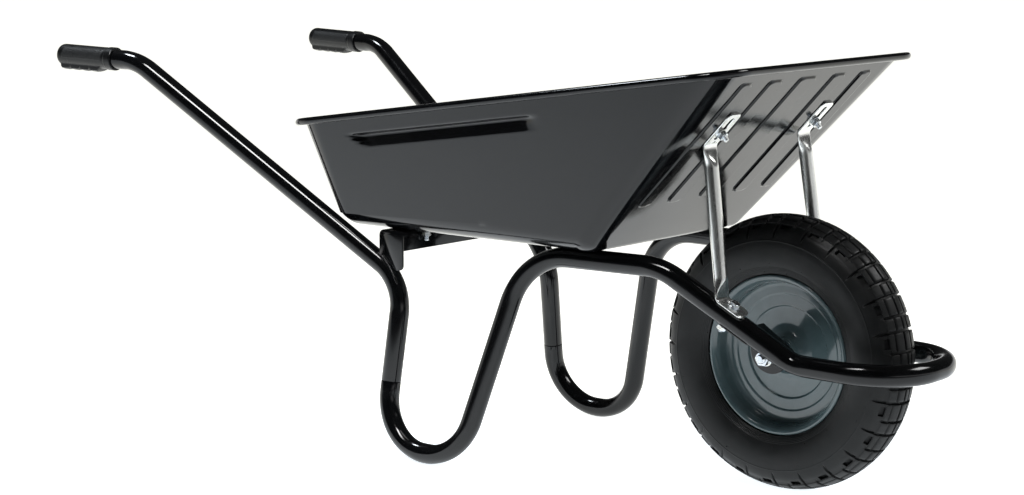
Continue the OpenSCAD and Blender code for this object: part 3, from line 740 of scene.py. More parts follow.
BRACKET_Y = 56.0
BRACKET_T = 3.0
BRACKET_HALF = 30.0
FLANGE_Z = 36.0
MOON_R = 33.0
MOON_DROP = 20.0
TYRE_R = 197.0
HUB_CENTRE = vec(0, 0, TYRE_R)


def axle_brackets():
    """Half-moon plates that carry the axle, bent out into a flange under the sloping tubes."""
    reach = BRACKET_Y + 60.0
    rings = []
    xs = BRACKET_HALF * np.sin(np.linspace(-math.pi / 2, math.pi / 2, 41))
    for x in np.concatenate([[xs[0]], xs, [xs[-1]]]):
        low = MOON_R - MOON_DROP - math.sqrt(MOON_R**2 - x**2)
        outer, inner = FLANGE_Z + BRACKET_T, FLANGE_Z
        section = [
            (BRACKET_Y, low, 0.6), (BRACKET_Y + BRACKET_T, low, 0.6), (BRACKET_Y + BRACKET_T, inner, 3),
            (reach, inner, 0.6), (reach, outer, 0.6), (BRACKET_Y, outer, 5.5),
        ]
        points = rounded(section, 5)
        rings.append(coords(x, points[:, 0], points[:, 1]))
    for end in (0, -1):
        rings[end] = lerp(rings[end], rings[end].mean(0), 0.006)
    local = np.array(rings)
    points = HUB_CENTRE + local[..., :1] * SLOPE_DIR * vec(1, 0, 1) / np.linalg.norm(SLOPE_DIR * vec(1, 0, 1))
    points = points + local[..., 1:2] * LEFT + local[..., 2:] * SLOPE_UP
    make_pair("axle_bracket_plate", Shells().loft(points), "frame_paint", "axle_bracket")


def weld_pieces():
    shells = Shells()
    line = [
        tube_side_point(s, CHANNEL_HALF) for s in handle_path.stations
        if CHANNEL_REAR - 8 < s["p"][0] + 9 < CHANNEL_FRONT - 1 and s["p"][2] > 252
    ]
    weld_bead(shells, line, 2.3)
    weld_bead(shells, [p - LEFT * 4.6 for p in line], 2.0, seed=2)
    on_tube = RUN_FRONT + SLOPE_DIR * ((-BRACKET_HALF - RUN_FRONT[0]) / SLOPE_DIR[0])
    for side, seed in ((-1, 3), (1, 4)):
        start = on_tube - SLOPE_UP * 12 + LEFT * 9 * side
        weld_bead(shells, [start + SLOPE_DIR * 8, start + SLOPE_DIR * (2 * BRACKET_HALF - 2)], 2.2, seed=seed)
    make_piece("frame_weld_beads", shells.both_sides(), "frame_paint", crease=60)


# ---- tray ----
CORNER_LOW = 28.0
CORNER_HIGH = 50.0
FLOOR_HALF = 195.0
MOUTH_HALF = 248.0
EDGE_FRONT = 8.0
EDGE_SIDE = 32.0
SKIN_LOW = 0.7
SKIN_HIGH = 1.5
RIB_HEIGHT = 2.6
RIB_MIDDLES = (0.0, 81.5, 153.0)
RIB_HALVES = (20.5, 15.5, 13.0)
RIB_FROM = 96.0
RIB_TO = 345.0
RIB_WALL = 2.6
RIB_END_R = 8.0
BEAD_R = 5.5
BEAD_OUT = 9.0
SWAGE_TOP = 33.0
SWAGE_LOW = 54.0
SWAGE_DEPTH = 6.4
SWAGE_REAR = -620.0
SWAGE_FRONT = -266.0
FLOOR_MIDDLE = -450.0
INNER_HALF = 150.0

rib_walls = [m + sign * h for m, h in zip(RIB_MIDDLES, RIB_HALVES) for sign in (-1, 1)]
near_walls = [w + offset for w in rib_walls for offset in np.arange(-2.4, 2.41, 0.4)]
front_half = sorted({round(y, 2) for y in [*np.arange(0, 128, 4), *near_walls] if 0 < y < INNER_HALF - 0.5})
front_inner = np.array([-y for y in front_half[::-1]] + [0] + front_half)
front_spread = np.arange(1, 37) / 36
corner_turn = np.radians(np.arange(1, 15) * 90 / 15)
side_spread = np.arange(0, 73) / 72
rear_spread = np.arange(1, 40) / 40


def tray_outline(level, out):
    """x, y and outward angle of the points round the tray at a level (0 floor, 1 mouth), moved out."""
    r = lerp(CORNER_LOW, CORNER_HIGH, level)
    half = lerp(FLOOR_HALF, MOUTH_HALF, level)
    front = lerp(FLOOR_FRONT, MOUTH_FRONT, level)
    rear = lerp(FLOOR_REAR, MOUTH_REAR, level)
    spread = INNER_HALF + (half - r - INNER_HALF) * front_spread
    y = np.concatenate([-spread[::-1], front_inner, spread])
    parts = [coords(front + out, y, 0.0)]

    def arc(cx, cy, start):
        a = start + corner_turn
        parts.append(coords(cx + (r + out) * np.cos(a), cy + (r + out) * np.sin(a), a))

    def side(sign):
        x = lerp(front - r, rear + r, side_spread if sign > 0 else 1 - side_spread)
        parts.append(coords(x, sign * (half + out), math.pi / 2 if sign > 0 else 1.5 * math.pi))

    arc(front - r, half - r, 0)
    side(1)
    arc(rear + r, half - r, math.pi / 2)
    parts.append(coords(rear - out, lerp(half - r, r - half, rear_spread), math.pi))
    arc(rear + r, r - half, math.pi)
    side(-1)
    arc(front - r, r - half, 1.5 * math.pi)
    return np.concatenate(parts)


MOUTH_LINE = tray_outline(1.0, 0.0)


def rib_relief(y, s):
    """Height of the ribs pressed out of the front panel, from the distance to round-ended strips."""
    highest = np.zeros_like(y)
    middle, half_length = (RIB_FROM + RIB_TO) / 2, (RIB_TO - RIB_FROM) / 2
    for centre, half in zip(RIB_MIDDLES, RIB_HALVES):
        r = min(RIB_END_R, half)
        across = np.abs(np.abs(y) - centre) - (half - r)
        along = np.abs(s - middle) - (half_length - r)
        beyond = np.hypot(np.maximum(across, 0), np.maximum(along, 0)) + np.minimum(np.maximum(across, along), 0)
        highest = np.maximum(highest, smooth((r + RIB_WALL / 2 - beyond) / RIB_WALL))
    return highest * RIB_HEIGHT


def swage_relief(x, z):
    """Depth of the long shallow swage under the rim at each side: a tilted face with a quick return."""
    below = rim_z(x) - z
    rise = np.clip((SWAGE_LOW - below) / (SWAGE_LOW - SWAGE_TOP - 4), 0, 1)
    back = np.clip((below - SWAGE_TOP + 3) / 6, 0, 1)
    slant = (below - SWAGE_TOP) * 1.2
    ends = smooth((x - SWAGE_REAR - slant) / 7) * smooth((SWAGE_FRONT - x) / 26)
    return SWAGE_DEPTH * np.minimum(rise, smooth(back)) * ends


def wall_ring(level, out, floor_z):
    """One level of the tray's walls with the ribs and the swage in it."""
    line = tray_outline(level, out)
    x, y, angle = line.T
    z = lerp(floor_z, rim_z(MOUTH_LINE[:, 0]), level)
    relief = np.where(angle == 0, rib_relief(y, level * PANEL_LENGTH), 0)
    points = coords(x, y, z) + relief[:, None] * PANEL_OUT
    side = (angle == math.pi / 2) | (angle == 1.5 * math.pi)
    points[:, 1] -= np.where(side, swage_relief(x, z), 0) * np.sign(y)
    return points


def edge_ring(share, out, floor_z):
    """The rounded edge between the floor and the walls, as an arc in each point's upright plane."""
    line = tray_outline(0, out)
    base, up = wall_ring(0, out, floor_z), wall_ring(0.2, out, floor_z) - wall_ring(0, out, floor_z)
    up = up / np.linalg.norm(up, axis=1)[:, None]
    inward = -polar(1, line[:, 2], 0)
    angle = np.degrees(np.minimum(line[:, 2], TAU - line[:, 2]))
    reach = lerp(EDGE_FRONT, EDGE_SIDE, np.minimum(1, angle / 90))[:, None]
    start, end = base + inward * reach, base + up * reach
    w = np.sin(np.arccos(np.clip(np.sum(inward * up, -1), -1, 1)) / 2)[:, None]
    a, b, c = (1 - share) ** 2, 2 * w * share * (1 - share), share**2
    return (start * a + base * b + end * c) / (a + b + c)


def lip_ring(out, rise):
    """A line that follows the sloping mouth."""
    line = tray_outline(1.0, out)
    return coords(line[:, 0], line[:, 1], rim_z(line[:, 0]) + rise)


def lip_turn(wall_end, out, rise):
    """The small radius between the wall and the rim's flat."""
    top, over = lip_ring(out - 4.0, rise), lip_ring(out, rise)
    rings = []
    for share in np.linspace(0, 1, 6)[1:-1]:
        rings.append(wall_end * (1 - share) ** 2 + top * 2 * share * (1 - share) + over * share**2)
    return rings + [over]


def tray_piece():
    # Close together at both ends of the ribs and along the swage
    levels = np.concatenate([
        np.arange(0.12, 0.24, 0.03), np.arange(0.242, 0.275, 0.0025), np.arange(0.29, 0.66, 0.03),
        np.arange(0.67, 0.88, 0.0075), np.arange(0.885, 0.925, 0.0022), np.arange(0.93, 0.98, 0.0075), [0.988],
    ])
    top, low = FLOOR_Z + SHEET, FLOOR_Z
    edges = np.linspace(0, 1, 10)
    rings = [lerp(edge_ring(0, 0, top), vec(FLOOR_MIDDLE, 0, top), 0.02)]
    rings += [edge_ring(s, 0, top) for s in edges]
    rings += [wall_ring(t, 0, top) for t in levels]
    rings += lip_turn(rings[-1], 4.0, 0)
    for a in np.radians(np.arange(90, -151, -15)):
        rings.append(lip_ring(BEAD_OUT + BEAD_R * math.cos(a), BEAD_R * (math.sin(a) - 1)))
    inner = BEAD_R - SHEET
    for a in np.radians(np.arange(-150, 91, 20)):
        rings.append(lip_ring(BEAD_OUT + inner * math.cos(a), inner * math.sin(a) - BEAD_R))
    outer_end = wall_ring(levels[-1], lerp(SKIN_LOW, SKIN_HIGH, levels[-1]), low)
    rings += lip_turn(outer_end, 5.0, -SHEET)[::-1]
    rings += [wall_ring(t, lerp(SKIN_LOW, SKIN_HIGH, t), low) for t in levels[::-1]]
    rings += [edge_ring(s, SKIN_LOW, low) for s in edges[::-1]]
    rings.append(lerp(edge_ring(0, SKIN_LOW, low), vec(FLOOR_MIDDLE, 0, low), 0.02))
    make_piece("tray_shell", Shells().loft(rings), "tray_paint", "tray", crease=60)


# ---- struts ----
STRUT_R = 10.0
STRUT_NECK = 26.0
PLATE_LENGTH = 62.0
PLATE_CORNER = 9.0
STRUT_BEND_R = 9
SLOT_FROM = 15.0
SLOT_TO = 50.0
SLOT_R = 4.5
BOLT_HOLE_R = 4.4
HOLE_REACH = 6.0


def strut_section(station, flat, width):
    """A tube's section pressed towards a flat plate of that width as flat goes from 0 to 1."""
    side = unit(LEFT - station["t"] * station["t"][1])
    thick = np.cross(station["t"], side)
    quarter = np.linspace(-1, 1, 13)
    turn = np.radians(45 * quarter)
    end = width / 2 - PLATE_T / 2
    half = PLATE_T / 2
    round_part = [coords(np.cos(turn + k), np.sin(turn + k))[:-1] * STRUT_R for k in np.arange(4) * TAU / 4]
    cap = np.radians(90 * quarter)
    line = quarter[:-1] * -end
    plate_part = [
        coords(end + half * np.cos(cap), half * np.sin(cap))[:-1], coords(line, half),
        coords(-end - half * np.cos(cap), -half * np.sin(cap))[:-1], coords(-line, -half),
    ]
    points = lerp(np.concatenate(round_part), np.concatenate(plate_part), flat)
    return station["p"] + points[:, :1] * side + points[:, 1:] * thick


def strut_shells():
    tip = strut_top + PANEL_DIR * PLATE_LENGTH
    toe = strut_bottom + SLOPE_DIR * (FOOT_TO - FOOT_FROM)
    path = Path([(tip, 0), (strut_top, STRUT_BEND_R), (strut_bottom, STRUT_BEND_R), (toe, 0)], 7)
    tube_from, tube_to = PLATE_LENGTH, path.length - (FOOT_TO - FOOT_FROM)
    stops = {s["s"] for s in path.stations}
    for start, sign in ((0, 1), (path.length, -1)):
        stops |= {start + sign * PLATE_CORNER * (1 - math.cos(a)) for a in np.linspace(0.06, math.pi / 2, 12)}
    for low, high in ((tube_from + 3, tube_from + STRUT_NECK + 8), (tube_to - STRUT_NECK - 8, tube_to - 3)):
        stops |= {float(s) for s in np.linspace(low, high, 14)}
    rings = []
    for s in sorted(stops):
        if s < 0.02 or s > path.length - 0.02:
            continue
        near = dict(path.near(s))
        near["p"] = path.at(s)
        inside = min(s - tube_from, tube_to - s)
        flat = 1 - float(smooth((inside - 4) / STRUT_NECK))
        short = PLATE_CORNER - min(s, path.length - s, PLATE_CORNER)
        width = PLATE_W - 2 * (PLATE_CORNER - math.sqrt(PLATE_CORNER**2 - short**2))
        rings.append(strut_section(near, flat, width))
    return Shells().loft(rings)


def cut(piece, shells):
    """Takes the shells' volume out of a piece."""
    knife = make_piece(piece.name + "_knife", shells, "frame_paint")
    modifier = piece.modifiers.new("cut", "BOOLEAN")
    modifier.operation, modifier.solver, modifier.object = "DIFFERENCE", "EXACT", knife
    shaped = bpy.data.meshes.new_from_object(piece.evaluated_get(bpy.context.evaluated_depsgraph_get()))
    piece.modifiers.clear()
    piece.data = shaped
    bpy.data.objects.remove(knife)


def struts():
    """Tubes with flattened ends: a slot for the bolt through the panel, and a hole for the one at the foot."""
    slot = []
    for middle, start in ((SLOT_FROM, math.pi / 2), (SLOT_TO, -math.pi / 2)):
        turn = np.linspace(start, start + math.pi, 16)
        slot += [(middle + SLOT_R * math.cos(a), SLOT_R * math.sin(a)) for a in turn]
    slot_rings = [[(x, y, z) for x, y in slot] for z in (-HOLE_REACH, HOLE_REACH)]
    foot_hole = circles([(BOLT_HOLE_R, -HOLE_REACH), (BOLT_HOLE_R, HOLE_REACH)], 32)
    shells, knife = strut_shells(), Shells()
    knife.loft(placed(slot_rings, strut_top, PANEL_OUT, PANEL_DIR))
    knife.loft(placed(foot_hole, foot_bolt_mid + SLOPE_UP * (TUBE_R + 1.5), SLOPE_UP))
    for side in ("left", "right"):
        cut(make_piece("strut_tube_" + side, shells, "galvanised_steel", "strut_" + side), knife)
        shells.flip()
        knife.flip()


# ---- grips ----
GRIP_LENGTH = 118.0
GRIP_R = 17.21
COLLAR = 14.0
GRIP_ROUND = 9.0
BUMP_R = 10.5
BUMPS = 4
BUMP_FIRST = 18.0
BUMP_PITCH = 20.5
BUMP_REACH = 5.5
BUMP_DROP = 12.2
BUMP_HALF = 12.0
PANEL_RISE = 0.35
GRIP_SIDES = 120


def grip_radius(angles, z):
    """The grip's radius round its axis at z from its end. The angle is 0 underneath, where the fingers go."""
    base = GRIP_R - GRIP_ROUND + math.sqrt(max(0.0, GRIP_ROUND**2 - max(0.0, GRIP_ROUND - z) ** 2))
    base += float(smooth((z - GRIP_LENGTH + COLLAR) / 2)) - 0.8 * float(smooth((z - GRIP_LENGTH + 1.2) / 1.2))
    radius = np.full(len(angles), base)
    down, across = np.cos(angles), np.abs(np.sin(angles))
    offset = min(abs(z - BUMP_FIRST - i * BUMP_PITCH) for i in range(BUMPS))
    if offset < BUMP_R and z > 4:
        depth = BUMP_DROP + math.sqrt(BUMP_R**2 - offset**2)
        lobe = np.minimum(depth / np.maximum(down, 0.05), BUMP_HALF / np.maximum(across, 0.05))
        lobe = np.where(down > 0.3, np.minimum(lobe, GRIP_R + BUMP_REACH), 0)
        radius = np.maximum(radius, lobe)
    return radius


def on_panel(angle, z):
    """Whether a point lies in one of the two grained panels, over the grip's upper sides."""
    return 15 < z < GRIP_LENGTH - COLLAR - 5 and 82 < math.degrees(abs(angle)) < 140


def grips():
    angles = (np.arange(GRIP_SIDES) + 0.5) * TAU / GRIP_SIDES
    signed = np.where(angles > math.pi, angles - TAU, angles)
    levels = [0.02, 0.3, 0.9, 1.8, 3, 4.2, 5.5, 7, 8.8] + list(np.arange(10, GRIP_LENGTH - COLLAR, 0.8))
    levels += list(np.arange(GRIP_LENGTH - COLLAR, GRIP_LENGTH, 0.5)) + [GRIP_LENGTH]
    rings = []
    for z in levels:
        r = grip_radius(angles, z)
        r = r + np.array([PANEL_RISE if on_panel(a, z) else 0 for a in signed])
        rings.append(polar(r, angles, z))
    rings += list(circles([(TUBE_R + 0.05, GRIP_LENGTH), (TUBE_R + 0.05, 20)], GRIP_SIDES))
    under = unit(GRIP_DIR * GRIP_DIR[2] - UP)
    shells = Shells().loft(placed(rings, GRIP_END - GRIP_DIR * 0.05, -GRIP_DIR, under))
    for index, face in enumerate(shells.faces):
        if len(face) == 4:
            ring, k = divmod(face[0], GRIP_SIDES)
            if ring < len(levels) and on_panel(signed[k], levels[ring]):
                shells.kinds[index] = 1
    make_pair("grip_moulding", shells, "grip_rubber", "grip", crease=40)


# ---- wheel, drawn about +Z as in the CAD and then laid along the axle ----
def on_axle(points):
    return placed(points, HUB_CENTRE, LEFT, vec(1, 0, 0))


def both_ends(points):
    """The same shape at the other end of the axle."""
    return np.asarray(points) * vec(1, 1, -1)


def lathe(outline, steps=4, sides=96):
    """Closed rings turned from an outline of [radius, z, corner radius] points."""
    return circles(rounded(outline, steps), sides)


def loft_pair(shells, rings):
    """Closed rings at one end of the axle and their mirror image at the other."""
    return shells.loft(on_axle(rings), closed=True).loft(on_axle(both_ends(rings)), closed=True)


TREAD_REPEATS = 24
REPEAT = 360 / TREAD_REPEATS
WIDE = 7.3
NARROW = 5.0
CUT = REPEAT / 2 - (WIDE + NARROW) / 2
TREAD_DEPTH = 5.0
TREAD_CLEAR = 0.03
SHOULDER_R = 187.5
SHOULDER_Y = 29.5
BEAD_SEAT_R = 104.6
# Across the tread, the edges of its two grooves and its shoulder at a wide block and at a narrow one
WIDE_BREAKS = vec(5.4, 8.8, 21.5, 23.7, SHOULDER_Y)
NARROW_BREAKS = vec(3.1, 6.1, 16.3, 19.3, SHOULDER_Y)
WEDGE_END_R = 167.0
POCKET_FROM = 1.35
POCKET_TO = 5.95
POCKET_DEPTH = 4.5
# Radius and step in degrees of each ring of the mould's vents
VENTS = ((118.0, 22.5), (130.5, 22.5), (158.0, 45.0))


def tread_columns():
    """Angle, depth share and block share (0 wide, 1 narrow) of each column in one repeat, with its kind of cut."""
    def block(start, width, extra):
        inner = [start + 0.12] + [start + a for a in extra] + [start + width - 0.12]
        return [(start, 0.07)] + [(a, 0.0) for a in inner] + [(start + width, 0.07)]

    def gap(start):
        return [(start + CUT * f, d) for f, d in ((0.09, 0.9), (0.2, 1), (0.5, 1), (0.8, 1), (0.91, 0.9))]

    pocket = [1.0, POCKET_FROM, POCKET_FROM + 0.14, 2.6, 3.65, 4.7, POCKET_TO - 0.14, POCKET_TO, 6.3]
    second = WIDE + CUT
    columns = [(a, d, 0.0, 0) for a, d in block(0, WIDE, pocket)]
    columns += [(a, d, (a - WIDE) / CUT, 1) for a, d in gap(WIDE)]
    columns += [(a, d, 1.0, 0) for a, d in block(second, NARROW, [1.2, 2.5, 3.8])]
    columns += [(a, d, 1 - (a - second - NARROW) / CUT, 2) for a, d in gap(second + NARROW)]
    return np.array(columns)


def tread_rows():
    """Across half of the tread from its middle: [break before, break after, share between, offset, groove share]."""
    rows = [(-1, 0, 0.0, 0, 0), (-1, 0, 0.5, 0, 0)]
    for near, far in ((0, 1), (2, 3)):
        rows += [(near, near, 0, offset, dip) for offset, dip in ((-0.45, 0), (0, 0.07), (0.3, 0.9), (0.7, 1))]
        rows.append((near, far, 0.5, 0, 1))
        rows += [(far, far, 0, offset, dip) for offset, dip in ((-0.7, 1), (-0.3, 0.9), (0, 0.07), (0.45, 0))]
        rows += [(far, far + 1, 0.35, 0, 0), (far, far + 1, 0.7, 0, 0)]
    return rows + [(4, 4, 0, -0.9, 0), (4, 4, 0, -0.25, 0.02)]


side_line = vec(
    (SHOULDER_R, SHOULDER_Y), (178, 37.5), (168, 42.5), (158, 44.8), (148, 44.9), (138, 43.5), (128, 40.5),
    (120, 36.5), (115.5, 33.5),
)


def side_y(r):
    """How far out the sidewall stands at a radius, as a smooth curve through side_line."""
    known, out = side_line[::-1].T
    slopes = np.gradient(out, known)
    k = np.clip(np.searchsorted(known, r, side="right") - 1, 0, len(known) - 2)
    h = known[k + 1] - known[k]
    t = (r - known[k]) / h
    a, b = out[k], out[k + 1]
    return (
        a * (1 + 2 * t) * (1 - t) ** 2 + h * slopes[k] * t * (1 - t) ** 2
        + b * t**2 * (3 - 2 * t) + h * slopes[k + 1] * t**2 * (t - 1)
    )


def side_radii():
    """Radii of the rows down the sidewall, close together where something is moulded on it."""
    upper = [187.0, 186.4, 186.0, 185.75, 185.2, 183.0, 180.8, 180.3, 180.0, 179.5, 178.0, 176.0, 174.0, 172.0]
    middle = [170.0, 168.5, 167.0, 165.5, 164.6, 164.1, 163.6, 163.1, 162.6, 162.1, 161.0, 158.0, 155.0, 152.0]
    lower = [149.0, 146.0, 143.0, 140.0, 137.0, 134.0, 132.0, 130.0, 128.0, 126.6]
    return np.array(upper + middle + lower + list(np.arange(126.0, 117.5, -0.4)) + [117.0, 116.3, 115.6])


def side_relief(r):
    """Fine raised rings moulded round the sidewall, in millimetres."""
    ring = 0.56 * np.exp(-(((r - 163.35) / 0.55) ** 2))
    near_bead = np.clip(np.cos((r - 119.0) / 2.0 * TAU), 0, 1) * 0.42
    return ring + np.where((r > 118.2) & (r < 125.6), near_bead, 0)


def tread_ring_half(columns, sign):
    """Rows of points from the middle of the tread to one bead, each a whole turn long."""
    angle, dip, mix, cut = columns.T
    breaks = lerp(WIDE_BREAKS[:, None], NARROW_BREAKS[:, None], smooth(mix)[None])
    breaks = np.vstack([breaks, np.zeros_like(angle)])
    rows = []
    for before, after, share, offset, groove in tread_rows():
        y = lerp(breaks[before], breaks[after], share) + offset
        top = TYRE_R - TREAD_CLEAR - (TYRE_R - SHOULDER_R) * (y / SHOULDER_Y) ** 2
        rows.append((angle, top - TREAD_DEPTH * np.maximum(dip, groove), y))
    centre = np.where(cut == 1, WIDE + CUT / 2, REPEAT - CUT / 2)
    narrow_until = np.where(cut == 1, 185.0, WEDGE_END_R)
    for r in side_radii():
        share = np.clip((r - narrow_until) / (SHOULDER_R - narrow_until), 0, 1)
        squeeze = np.where(share > 0, lerp(0.12, 1, share), lerp(0.12, 1, np.clip((narrow_until - r) / 5, 0, 1)))
        turned = np.where(cut > 0, centre + (angle - centre) * squeeze, angle)
        inward = TREAD_DEPTH * share**0.7 * np.where(cut > 0, dip, 0)
        pocket = (angle > POCKET_FROM + 0.07) & (angle < POCKET_TO - 0.07) & (180.1 < r) & (r < 185.9)
        under_edge = 0.9 * smooth((187.0 - r) / 0.8) * smooth((r - 176) / 8)
        inward = inward + POCKET_DEPTH * pocket + under_edge - side_relief(r)
        slope = side_y(r + 0.5) - side_y(r - 0.5)
        normal = unit([-slope, 1.0])
        rows.append((turned, r - inward * normal[0], side_y(r) - inward * normal[1]))
    for r, y in ((115.3, 29.3), (109, 28.4), (106.2, 26.4), (BEAD_SEAT_R, 23)):
        rows.append((angle, r + 0 * angle, y + 0 * angle))
    turns = np.arange(TREAD_REPEATS) * REPEAT
    rings = []
    for a, r, y in rows:
        a = np.radians((turns[:, None] + a[None]).ravel())
        rings.append(polar(np.tile(r, TREAD_REPEATS), a, np.tile(y, TREAD_REPEATS) * sign))
    return rings


def vent_nibs(shells):
    """The little rubber whiskers that a mould's vents leave."""
    draw = random.Random(7)
    for sign in (1, -1):
        for r, step in VENTS:
            for k in range(int(360 / step)):
                a = math.radians(k * step + draw.uniform(0, 9) + r)
                out = side_y(r)
                foot = vec(r * math.cos(a), r * math.sin(a), sign * (out - 0.3))
                tall = draw.uniform(0.9, 2.0)
                rings = circles([(0.75, 0), (0.55, tall * 0.6), (0.3, tall)], 8)
                shells.loft(on_axle(placed(rings, foot, vec(0.15 * math.cos(a), 0.15 * math.sin(a), sign))))


def tyre():
    """The tread, both sidewalls and the lining as one closed shell, with the vents' nibs on it."""
    columns = tread_columns()
    left, right = tread_ring_half(columns, 1), tread_ring_half(columns, -1)
    inside = [(BEAD_SEAT_R, 17), (112, 19.5), (120, 27), (130, 34.5), (142, 39.3), (155, 40.3), (166, 37.5)]
    inside += [(175, 31.5), (182, 22.5), (186, 12), (187.5, 0)]
    inside += [(r, -y) for r, y in inside[-2::-1]]
    a = np.arctan2(left[0][:, 1], left[0][:, 0])
    rings = right[:0:-1] + left + [polar(r, a, y) for r, y in inside]
    shells = Shells().loft(on_axle(np.array(rings)), closed=True)
    vent_nibs(shells)
    make_piece("tyre_tread", shells, "tyre_rubber", "tyre", body="wheel", crease=42)


RIM_FACE = [
    (114, 30, 0.6), (114, 32.5, 2), (112.5, 34, 2), (110, 34, 4), (106.5, 32, 5), (104, 28.5, 6), (102, 24, 8),
    (101, 10, 5), (98.5, 6.5, 4), (94, 6, 5), (84.5, 6, 2.5), (82.5, 4.5, 2.5), (67, 4.5, 1.6), (65, 2, 1.6),
    (40, 2, 14), (30, 5, 12), (24, 12, 6), (22.5, 18, 0.8), (19.02, 18, 0),
]
RIM_BACK = [
    (19.02, 16, 0), (21, 16, 0.8), (22.5, 10.5, 5), (29, 3.2, 8), (39.5, 0.05, 10), (66, 0.05, 1.5), (68, 2.5, 1.5),
    (83.5, 2.5, 2), (85.5, 4, 2), (94, 4, 4), (99.5, 4.3, 4), (103, 9, 4), (104, 23.5, 6), (105.5, 27.2, 5),
    (108.5, 29.6, 3), (111.5, 31, 2),
]
HUB_R = 19.0
HUB_HALF = 46.5
BEARING_Y = 35.0
BEARING_END = 45.0
BEARING_R = 16.0
BALLS = 7
BALL_R = 2.9
BALL_CIRCLE_R = 11.1
RACE_R = 3.02
DISH_WELD_Y = 18.6
AXLE_R = 6.0
AXLE_HALF = 77.0
WASHER_Y = 59.0
NUT_Y = 61.5


def weld_ring(shells, radius, z, size, seed):
    line = on_axle(polar(radius, np.linspace(0, TAU, 60), z))
    weld_bead(shells, line, size, 3.0, seed)


def rim():
    """Two pressed dishes, the left one with the valve's hole in it, welded round the hub's tube."""
    rings = lathe(RIM_FACE + RIM_BACK, 5, 240)
    dishes = []
    for side, turned, sign, seed in (("left", rings, 1, 11), ("right", both_ends(rings), -1, 12)):
        shells = Shells().loft(on_axle(turned), closed=True)
        weld_ring(shells, HUB_R + 1.2, sign * DISH_WELD_Y, 1.9, seed)
        dish = make_piece("rim_dish_" + side, shells, "rim_enamel", "rim_half_" + side, body="wheel", crease=40)
        dishes.append(dish)
    cut(dishes[0], Shells().loft(valve_placed(circles([(VALVE_R + 0.3, -30), (VALVE_R + 0.3, 30)]))))
    hub = [(HUB_R, -HUB_HALF, 0.6), (HUB_R, HUB_HALF, 0.6), (BEARING_R, HUB_HALF, 1.0), (BEARING_R, -HUB_HALF, 1.0)]
    make_piece("hub_barrel", Shells().loft(on_axle(lathe(hub)), closed=True), "rim_enamel", "hub_tube", body="wheel")


def shields():
    shells = Shells()
    for z in (BEARING_Y + 0.2, BEARING_END - 0.7):
        outline = [(BEARING_R - 3, z, 0.1), (BEARING_R - 3, z + 0.5, 0.15), (9.5, z + 0.5, 0.15), (9.5, z, 0.1)]
        loft_pair(shells, lathe(outline, 3))
    make_piece("bearing_shield_rings", shells, "bearing_steel", "bearing_shields", body="wheel")


def bearing_rings():
    """Inner and outer rings with chamfered edges and the groove that the balls run in."""
    middle = (BEARING_Y + BEARING_END) / 2
    low, high, c = BEARING_Y, BEARING_END, 0.35
    for name, body, node, inner, outer, out in (
        ("bearing_inner_races", "frame", "bearing_inner_rings", AXLE_R + 0.02, 9.2, -1),
        ("bearing_outer_races", "wheel", "bearing_outer_rings", BEARING_R - 3, BEARING_R, 1),
    ):
        edge, plain = (inner, outer) if out > 0 else (outer, inner)
        turn = [math.radians(t) for t in range(-36, 37, 6)]
        race = [(BALL_CIRCLE_R + out * RACE_R * math.cos(t), middle + RACE_R * math.sin(t)) for t in turn]
        outline = [(edge + out * c, low), (edge, low + c)] + [p for p in race if (p[0] - edge) * out > 0]
        outline += [(edge, high - c), (edge + out * c, high)]
        outline += [(plain - out * c, high), (plain, high - c), (plain, low + c), (plain - out * c, low)]
        make_piece(name, loft_pair(Shells(), circles(outline, 96)), "bearing_steel", node, body=body)


def balls():
    shells = Shells()
    arc = np.radians(np.linspace(-86, 86, 17))
    ball = circles([(BALL_R * math.cos(t), BALL_R * math.sin(t)) for t in arc], 24)
    for k in range(BALLS):
        a = k * TAU / BALLS
        for sign in (1, -1):
            shells.loft(on_axle(ball + polar(BALL_CIRCLE_R, a, sign * (BEARING_Y + BEARING_END) / 2)))
    make_piece("bearing_ball_set", shells, "bearing_steel", "bearing_balls", body="wheel")


def axle():
    ends = threaded(AXLE_R, -AXLE_HALF, -BEARING_END, 48)
    rod = Shells().loft(on_axle(np.concatenate([ends[::-1], both_ends(ends)])))
    make_piece("axle_rod_threaded", rod, "zinc_fastener", "axle_rod", crease=28)

    def pair(name, node, rings, at):
        make_piece(name, loft_pair(Shells(), rings + vec(0, 0, at)), "zinc_fastener", node, crease=28)

    pair("axle_washer_pair", "axle_washers", washer_rings(12, 2.5, AXLE_R + 0.2), WASHER_Y)
    pair("axle_nut_pair", "axle_nuts", nut_rings(19, 10, AXLE_R + 0.05), NUT_Y)
    spacer = lathe([(9, 0, 0.5), (9, 11, 0.5), (AXLE_R + 0.1, 11, 0.5), (AXLE_R + 0.1, 0, 0.5)], 3)
    pair("axle_spacer_pair", "axle_outer_spacers", spacer, BEARING_END)
    sleeve = lathe([(8.5, -BEARING_Y, 0.4), (8.5, BEARING_Y, 0.4), (6.1, BEARING_Y, 0.4), (6.1, -BEARING_Y, 0.4)], 3)
    sleeve = Shells().loft(on_axle(sleeve), closed=True)
    make_piece("axle_sleeve_tube", sleeve, "zinc_fastener", "axle_inner_sleeve")


VALVE_R = 4.0
VALVE_TURN = 125.0
VALVE_LEAN = 50.0
VALVE_FROM = vec(103, 0, 11)


